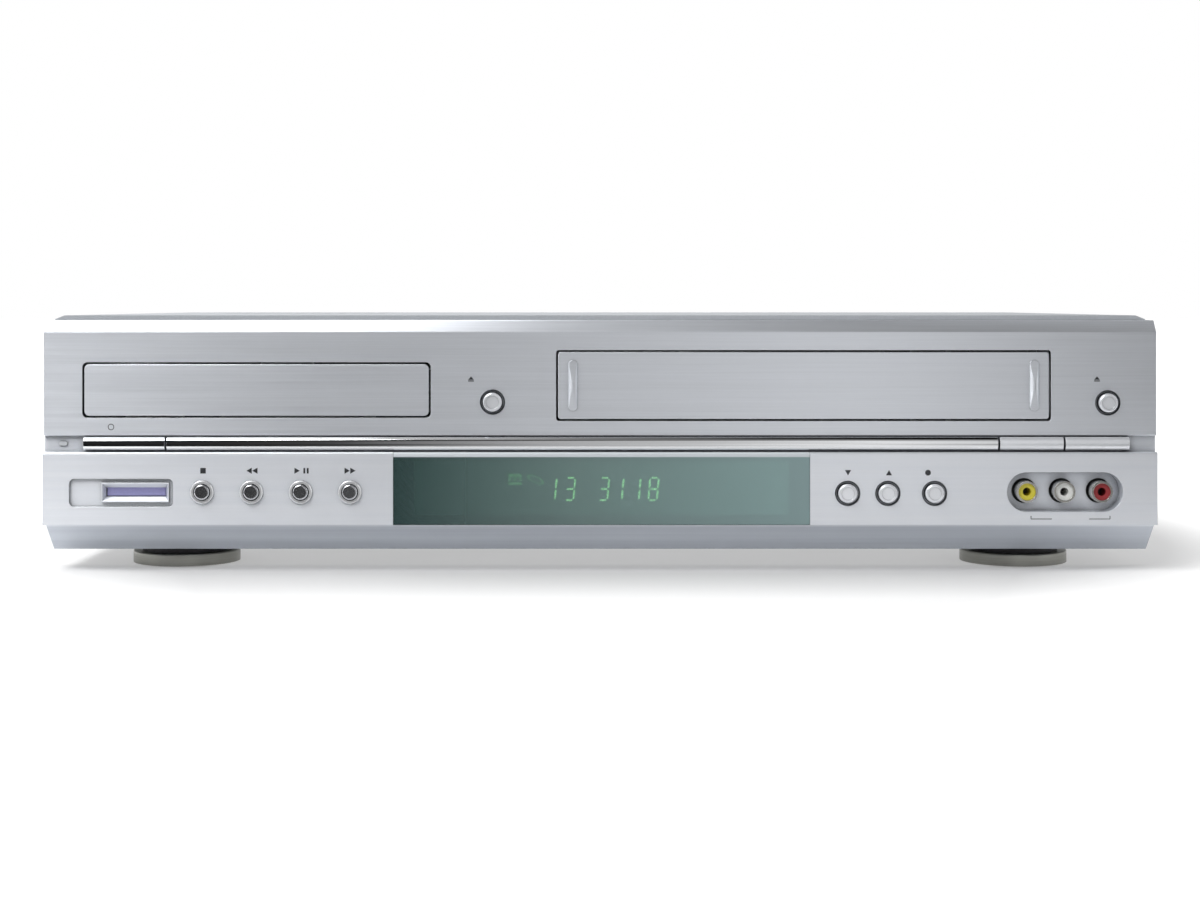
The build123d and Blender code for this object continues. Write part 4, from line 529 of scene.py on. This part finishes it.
# At the two round keys of the upper panel an arrow over a bar, and at the power key a ring
EJECT_PLACES_PX = ((471, 379), (1097, 379))
EJECT_ARROW_MM, EJECT_ARROW_UP_MM = (2.2, 1.3), 0.35
EJECT_BAR_MM, EJECT_BAR_DOWN_MM = (2.2, 0.4), 0.75
POWER_PLACE_PX = (111, 427)
POWER_RADIUS_MM, POWER_LINE_MM = 1.1, 0.25


def lower_symbols():
    made = []
    arrow = triangle_right(*ARROW_MM)

    def add(outline, px, py, dx=0.0):
        x, z = spot(px, py, 0.0)
        made.append(moved(outline, x + dx, z))

    add(box_outline(SQUARE_MM, SQUARE_MM), STOP_PX, LEFT_ROW_PX)
    for dx in ARROW_PAIR_MM:
        add(flipped(arrow, across=-1), REWIND_PX, LEFT_ROW_PX, dx)
        add(arrow, FORWARD_PX, LEFT_ROW_PX, dx)
    add(arrow, PLAY_PX, LEFT_ROW_PX, PLAY_ARROW_MM)
    for dx in PAUSE_BARS_MM:
        add(box_outline(PAUSE_BAR_WIDTH_MM, SQUARE_MM), PLAY_PX, LEFT_ROW_PX, dx)
    add(flipped(triangle_up(*CHANNEL_ARROW_MM), up=-1), DOWN_PX, RIGHT_ROW_PX)
    add(triangle_up(*CHANNEL_ARROW_MM), UP_PX, RIGHT_ROW_PX)
    add(disc_outline(RECORD_RADIUS_MM), RECORD_PX, RIGHT_ROW_PX)
    for end_px, inward in ((BRACKET_LEFT_PX, 1), (BRACKET_RIGHT_PX, -1)):
        end, z = spot(end_px, BRACKET_HEIGHT_PX, 0.0)
        made.append(moved(box_outline(BRACKET_ARM_MM, BRACKET_LINE_MM), end + inward * BRACKET_ARM_MM / 2, z))
        made.append(moved(box_outline(BRACKET_LINE_MM, BRACKET_END_MM), end, z + BRACKET_END_MM / 2))
    plates("lower_symbols", made, facing_front(0.0), INK_MM, "case", INK)


def upper_symbols():
    made = []
    for place in EJECT_PLACES_PX:
        x, z = spot(*place, UPPER_PANEL_SETBACK_MM)
        made.append(moved(triangle_up(*EJECT_ARROW_MM), x, z + EJECT_ARROW_UP_MM))
        made.append(moved(box_outline(*EJECT_BAR_MM), x, z - EJECT_BAR_DOWN_MM))
    x, z = spot(*POWER_PLACE_PX, UPPER_PANEL_SETBACK_MM)
    made += [moved(stripe, x, z) for stripe in ring_outlines(POWER_RADIUS_MM, POWER_LINE_MM)]
    plates("upper_symbols", made, facing_front(UPPER_PANEL_SETBACK_MM), INK_MM, "case", INK)


# ---------------------------------------------------------------- display

# The strokes of each number: a to f run clockwise from the top one, and g lies across the middle
SEGMENTS = {"1": "bc", "3": "abcdg", "8": "abcdefg"}

DISPLAY_SETBACK_MM = 1.6
LIT_MM = 0.1

DIGIT_ROW_PX = 489
DIGITS_PX = (("1", 551.5), ("3", 570), ("3", 604), ("1", 618.5), ("1", 635.5), ("8", 653.5))
DIGIT_WIDTH_MM, DIGIT_HEIGHT_MM, STROKE_MM = 3.3, 8.6, 0.75
STROKE_GAP_SHARE = 0.35
DIGIT_LEAN = 0.09

ICON_ROW_PX = 479.5
CASSETTE_PX = 515
CASSETTE_TOP_MM, CASSETTE_TOP_UP_MM = (5.2, 1.3), 1.5
CASSETTE_FOOT_MM, CASSETTE_FOOT_DOWN_MM = (5.2, 1.1), 1.6
CASSETTE_WEB_MM, CASSETTE_WEBS_AT_MM = (1.0, 1.2), (-2.1, 0.0, 2.1)
LOOP_PX = 535.5
LOOP_RADIUS_MM, LOOP_LINE_MM, LOOP_STEPS = 1.2, 0.4, 20
LOOP_WIDER, LOOP_LEAN = 2.4, 0.9


def digit(number, width, height, stroke):
    """A seven-segment digit about its middle, as separate strokes."""
    half_w, half_h = width / 2, height / 2
    gap = stroke * STROKE_GAP_SHARE
    half = stroke / 2

    def across(z):
        a = half_w - gap - half
        return [(-a, z - half), (a, z - half), (a + half, z), (a, z + half), (-a, z + half), (-a - half, z)]

    def upright(x, low, high):
        b, t = low + gap, high - gap
        return [(x, b), (x + half, b + half), (x + half, t - half), (x, t), (x - half, t - half), (x - half, b + half)]

    shapes = {
        "a": across(half_h),
        "g": across(0.0),
        "d": across(-half_h),
        "b": upright(half_w, 0.0, half_h),
        "c": upright(half_w, -half_h, 0.0),
        "f": upright(-half_w, 0.0, half_h),
        "e": upright(-half_w, -half_h, 0.0),
    }
    return [shapes[s] for s in SEGMENTS[number]]


def display():
    """The lit digits just behind the window, and two small icons beside them."""
    plane = facing_front(DISPLAY_SETBACK_MM)

    lit = []
    for number, px in DIGITS_PX:
        x, z = spot(px, DIGIT_ROW_PX, DISPLAY_SETBACK_MM)
        strokes = digit(number, DIGIT_WIDTH_MM, DIGIT_HEIGHT_MM, STROKE_MM)
        lit += [moved(stroke, x, z, lean=DIGIT_LEAN) for stroke in strokes]
    plates("display_digits", lit, plane, LIT_MM, "case", DIGITS)

    x, z = spot(CASSETTE_PX, ICON_ROW_PX, DISPLAY_SETBACK_MM)
    icon = [
        moved(box_outline(*CASSETTE_TOP_MM), x, z + CASSETTE_TOP_UP_MM),
        moved(box_outline(*CASSETTE_FOOT_MM), x, z - CASSETTE_FOOT_DOWN_MM),
    ]
    icon += [moved(box_outline(*CASSETTE_WEB_MM), x + dx, z) for dx in CASSETTE_WEBS_AT_MM]
    plates("display_cassette_icon", icon, plane, LIT_MM, "case", DIM_ICONS)

    x, z = spot(LOOP_PX, ICON_ROW_PX, DISPLAY_SETBACK_MM)
    stripes = ring_outlines(LOOP_RADIUS_MM, LOOP_LINE_MM, LOOP_STEPS)
    loop = [moved([(LOOP_WIDER * a, b - LOOP_LEAN * a) for a, b in stripe], x, z) for stripe in stripes]
    plates("display_loop_icon", loop, plane, LIT_MM, "case", DIM_ICONS)


# ---------------------------------------------------------------- screws

CROSS_LENGTH_MM, CROSS_WIDTH_MM, CROSS_PLATE_MM = 3.2, 0.7, 0.05
SCREW_HEAD_MM = 1.7
CASE_SIDE_MM = 213.0
SIDE_SCREW_SETBACKS_MM, SIDE_SCREW_Z_MM = (70.0, 215.0), 17.0
REAR_SCREW_XS_MM, REAR_SCREW_Z_MM = (-120.0, 0.0, 130.0, 204.0), 14.0


def crosses(places):
    """A bar and an upright, crossed, at each place."""
    bar = box_outline(CROSS_LENGTH_MM, CROSS_WIDTH_MM)
    upright = [(b, a) for a, b in bar]
    return [moved(shape, *place) for place in places for shape in (bar, upright)]


def facing_side(side):
    """Outlines drawn in Y and Z, standing proud of the screw heads on one side of the case."""
    return lambda y, z, proud: (side * (CASE_SIDE_MM + SCREW_HEAD_MM + proud), y, z)


def screw_crosses():
    """A dark cross on each screw's head: painted shade where the cross recess would be."""
    places = [(FRONT_Y_MM + setback, SIDE_SCREW_Z_MM) for setback in SIDE_SCREW_SETBACKS_MM]
    for side, word in ((-1, "left"), (1, "right")):
        name = f"screw_cross_{word}"
        plates(name, crosses(places), facing_side(side), CROSS_PLATE_MM, "case", PAINTED_RECESS_SHADE)

    def facing_back(x, z, proud):
        return x, REAR_Y_MM + SCREW_HEAD_MM + proud, z

    places = [(x, REAR_SCREW_Z_MM) for x in REAR_SCREW_XS_MM]
    plates("screw_cross_rear", crosses(places), facing_back, CROSS_PLATE_MM, "case", PAINTED_RECESS_SHADE)


# ---------------------------------------------------------------- studio

FLOOR_REACH = 12.0
FLOOR_PATCHES = (3.0, 3.0, 3.0)
FLOOR_TONES = [(0.3, 0.61), (0.7, 0.63)]

# How much the floor is lifted where it is seen: from a way in front of the object to below it, falling towards the
# object's front as a painted shadow and lifting the shade under it as painted light, and to white between two
# distances from the middle
LIFT_SPAN = (-0.20, -0.07)
PAINTED_SHADOW_LIFT_STOPS = [(0.0, 0.36), (0.3, 0.17), (0.5, 0.075), (0.56, 0.10), (0.72, 0.37), (1.0, 0.385)]
WHITE_FROM, WHITE_AT = 0.20, 0.32

# The world's strength for the light that it gives, and where it is seen
WORLD_LIGHT, WORLD_SEEN = 0.40, 1.0
WHITE = (1.0, 1.0, 1.0, 1.0)

# Each lamp's place, width and height, and watts
LAMPS = {
    "key_lamp": ((-0.85, -0.75, 1.25), (1.2, 0.8), 19.0),
    "top_lamp": ((-0.5, 0.9, 1.5), (1.6, 1.0), 12.0),
}
LAMP_TARGET = (0.0, 0.0, 0.05)

# The cards' places, and their grey levels at shares of a span along X
CARD_REACH, CARD_FRONT, CARD_BACK = 2.0, -1.3, 3.0
BROW_Z, TOP_Z = 1.05, 1.9
TABLE_Z, TABLE_BACK = 0.001, -0.19
TOP_CARD_LEFT = -0.3
FRONT_SPAN, TABLE_SPAN, TOP_SPAN = (-0.6, 0.6), (-0.25, 0.25), (-0.3, 0.4)
FRONT_TONES = [
    (0.0, 0.01), (0.2, 0.03), (0.28, 0.06), (0.45, 0.42), (0.6, 0.58), (0.74, 0.85), (0.86, 0.64), (1.0, 0.14)
]
BROW_TONES = [(0.0, 0.01), (0.4, 0.04), (0.8, 0.35), (1.0, 0.35)]
TOP_TONES = [(0.0, 0.62), (0.4, 0.22), (0.75, 0.05), (1.0, 0.01)]


def stage_sheet(name, corners, material):
    mesh = bpy.data.meshes.new(name)
    mesh.from_pydata([Vector(c) for c in corners], [], [list(range(len(corners)))])
    obj = bpy.data.objects.new(name, mesh)
    bpy.context.scene.collection.objects.link(obj)
    obj.data.materials.append(material)
    return obj


def level_sheet(z, left, right, front, back):
    return [(left, front, z), (right, front, z), (right, back, z), (left, back, z)]


def upright_sheet(low, high):
    """A sheet in front of the object, between two heights."""
    return [(x, CARD_FRONT, z) for x, z in
            ((-CARD_REACH, low), (CARD_REACH, low), (CARD_REACH, high), (-CARD_REACH, high))]


def calculated(tree, operation, first, second):
    made = tree.nodes.new("ShaderNodeMath")
    made.operation = operation
    tree.links.new(first, made.inputs[0])
    tree.links.new(second, made.inputs[1])
    return made.outputs[0]


def seen_directly(tree):
    """1 where a camera, a reflection or a clear piece looks at the surface, 0 where it only gives light."""
    path = tree.nodes.new("ShaderNodeLightPath")
    seen = path.outputs["Is Camera Ray"]
    for name in ("Is Glossy Ray", "Is Transmission Ray"):
        seen = calculated(tree, "MAXIMUM", seen, path.outputs[name])
    return seen


def floor():
    """A pale floor, brightened where it is seen so that it meets the white round it, over the lamps' shadow; the
    brightening by place is painted shadow in front of the object and painted light in the shade under it.
    """
    made = Finish("floor").set(Roughness=0.9, Specular_IOR_Level=0.0)
    made.colour(made.ramp(made.noise(FLOOR_PATCHES), greys(FLOOR_TONES)))
    distance = made.add("VectorMath")
    distance.operation = "LENGTH"
    made.link(made.place, distance.inputs[0])
    painted_shadow_lift = made.ramp(made.axis("Y", *LIFT_SPAN), greys(PAINTED_SHADOW_LIFT_STOPS))
    far = made.between(distance.outputs["Value"], WHITE_FROM, WHITE_AT)
    lift = calculated(made.tree, "MAXIMUM", painted_shadow_lift, far)
    glow = made.add("Emission")
    glow.inputs["Color"].default_value = WHITE
    made.link(calculated(made.tree, "MULTIPLY", seen_directly(made.tree), lift), glow.inputs["Strength"])
    both = made.add("AddShader")
    made.link(made.shader.outputs[0], both.inputs[0])
    made.link(glow.outputs[0], both.inputs[1])
    made.show(both)
    stage_sheet("floor", level_sheet(0, -FLOOR_REACH, FLOOR_REACH, -FLOOR_REACH, FLOOR_REACH), made.material)


def world():
    """White where it is seen, a softer grey for the light that it gives."""
    made = bpy.data.worlds.new("studio")
    made.use_nodes = True
    bpy.context.scene.world = made
    tree = made.node_tree
    tree.nodes.clear()
    output = tree.nodes.new("ShaderNodeOutputWorld")
    sky = tree.nodes.new("ShaderNodeBackground")
    sky.inputs["Color"].default_value = WHITE
    tree.links.new(sky.outputs[0], output.inputs["Surface"])
    level = tree.nodes.new("ShaderNodeMapRange")
    level.inputs["To Min"].default_value = WORLD_LIGHT
    level.inputs["To Max"].default_value = WORLD_SEEN
    tree.links.new(seen_directly(tree), level.inputs["Value"])
    tree.links.new(level.outputs[0], sky.inputs["Strength"])


def lamp(name, place, size, power):
    light = bpy.data.lights.new(name, "AREA")
    light.shape = "RECTANGLE"
    light.size, light.size_y = size
    light.energy = power
    obj = bpy.data.objects.new(name, light)
    bpy.context.scene.collection.objects.link(obj)
    obj.location = place
    obj.rotation_mode = "QUATERNION"
    obj.rotation_quaternion = (Vector(LAMP_TARGET) - Vector(place)).to_track_quat("-Z", "Y")


def card(name, corners, tones, span):
    """A studio card that only reflections meet."""
    made = Finish(name)
    glow = made.add("Emission")
    made.link(made.ramp(made.axis("X", *span), greys(tones)), glow.inputs["Color"])
    made.show(glow)
    obj = stage_sheet(name, corners, made.material)
    for kind in ("camera", "diffuse", "transmission", "shadow", "volume_scatter"):
        setattr(obj, "visible_" + kind, False)


def cards():
    """What the bright parts mirror: dark on the left in front, pale on the right, and dark above on the right."""
    card("front_card", upright_sheet(0.0, BROW_Z), FRONT_TONES, FRONT_SPAN)
    card("brow_card", upright_sheet(BROW_Z, TOP_Z), BROW_TONES, FRONT_SPAN)
    table = level_sheet(TABLE_Z, -CARD_REACH, CARD_REACH, CARD_FRONT, TABLE_BACK)
    card("table_card", table, FRONT_TONES, TABLE_SPAN)
    above = level_sheet(TOP_Z, TOP_CARD_LEFT, CARD_REACH, CARD_FRONT, CARD_BACK)
    card("top_card", above, TOP_TONES, TOP_SPAN)


def studio():
    floor()
    world()
    for name, facts in LAMPS.items():
        lamp(name, *facts)
    cards()


def camera():
    data = bpy.data.cameras.new("camera")
    data.sensor_width = SENSOR_MM
    data.lens = PX_PER_MM * CAMERA_DISTANCE_MM * SENSOR_MM / IMAGE_WIDTH_PX
    data.shift_y = (HORIZON_PX - IMAGE_HEIGHT_PX / 2) / IMAGE_WIDTH_PX
    data.clip_start, data.clip_end = 0.01, 60.0
    obj = bpy.data.objects.new("camera", data)
    bpy.context.scene.collection.objects.link(obj)
    obj.location = (0.0, (FRONT_Y_MM - CAMERA_DISTANCE_MM) * MM, EYE_HEIGHT_MM * MM)
    obj.rotation_euler = (math.pi / 2, 0.0, 0.0)
    bpy.context.scene.camera = obj


bpy.context.scene.view_settings.view_transform = "Standard"
camera()
studio()
dress_frame()
lower_symbols()
upper_symbols()
display()
screw_crosses()
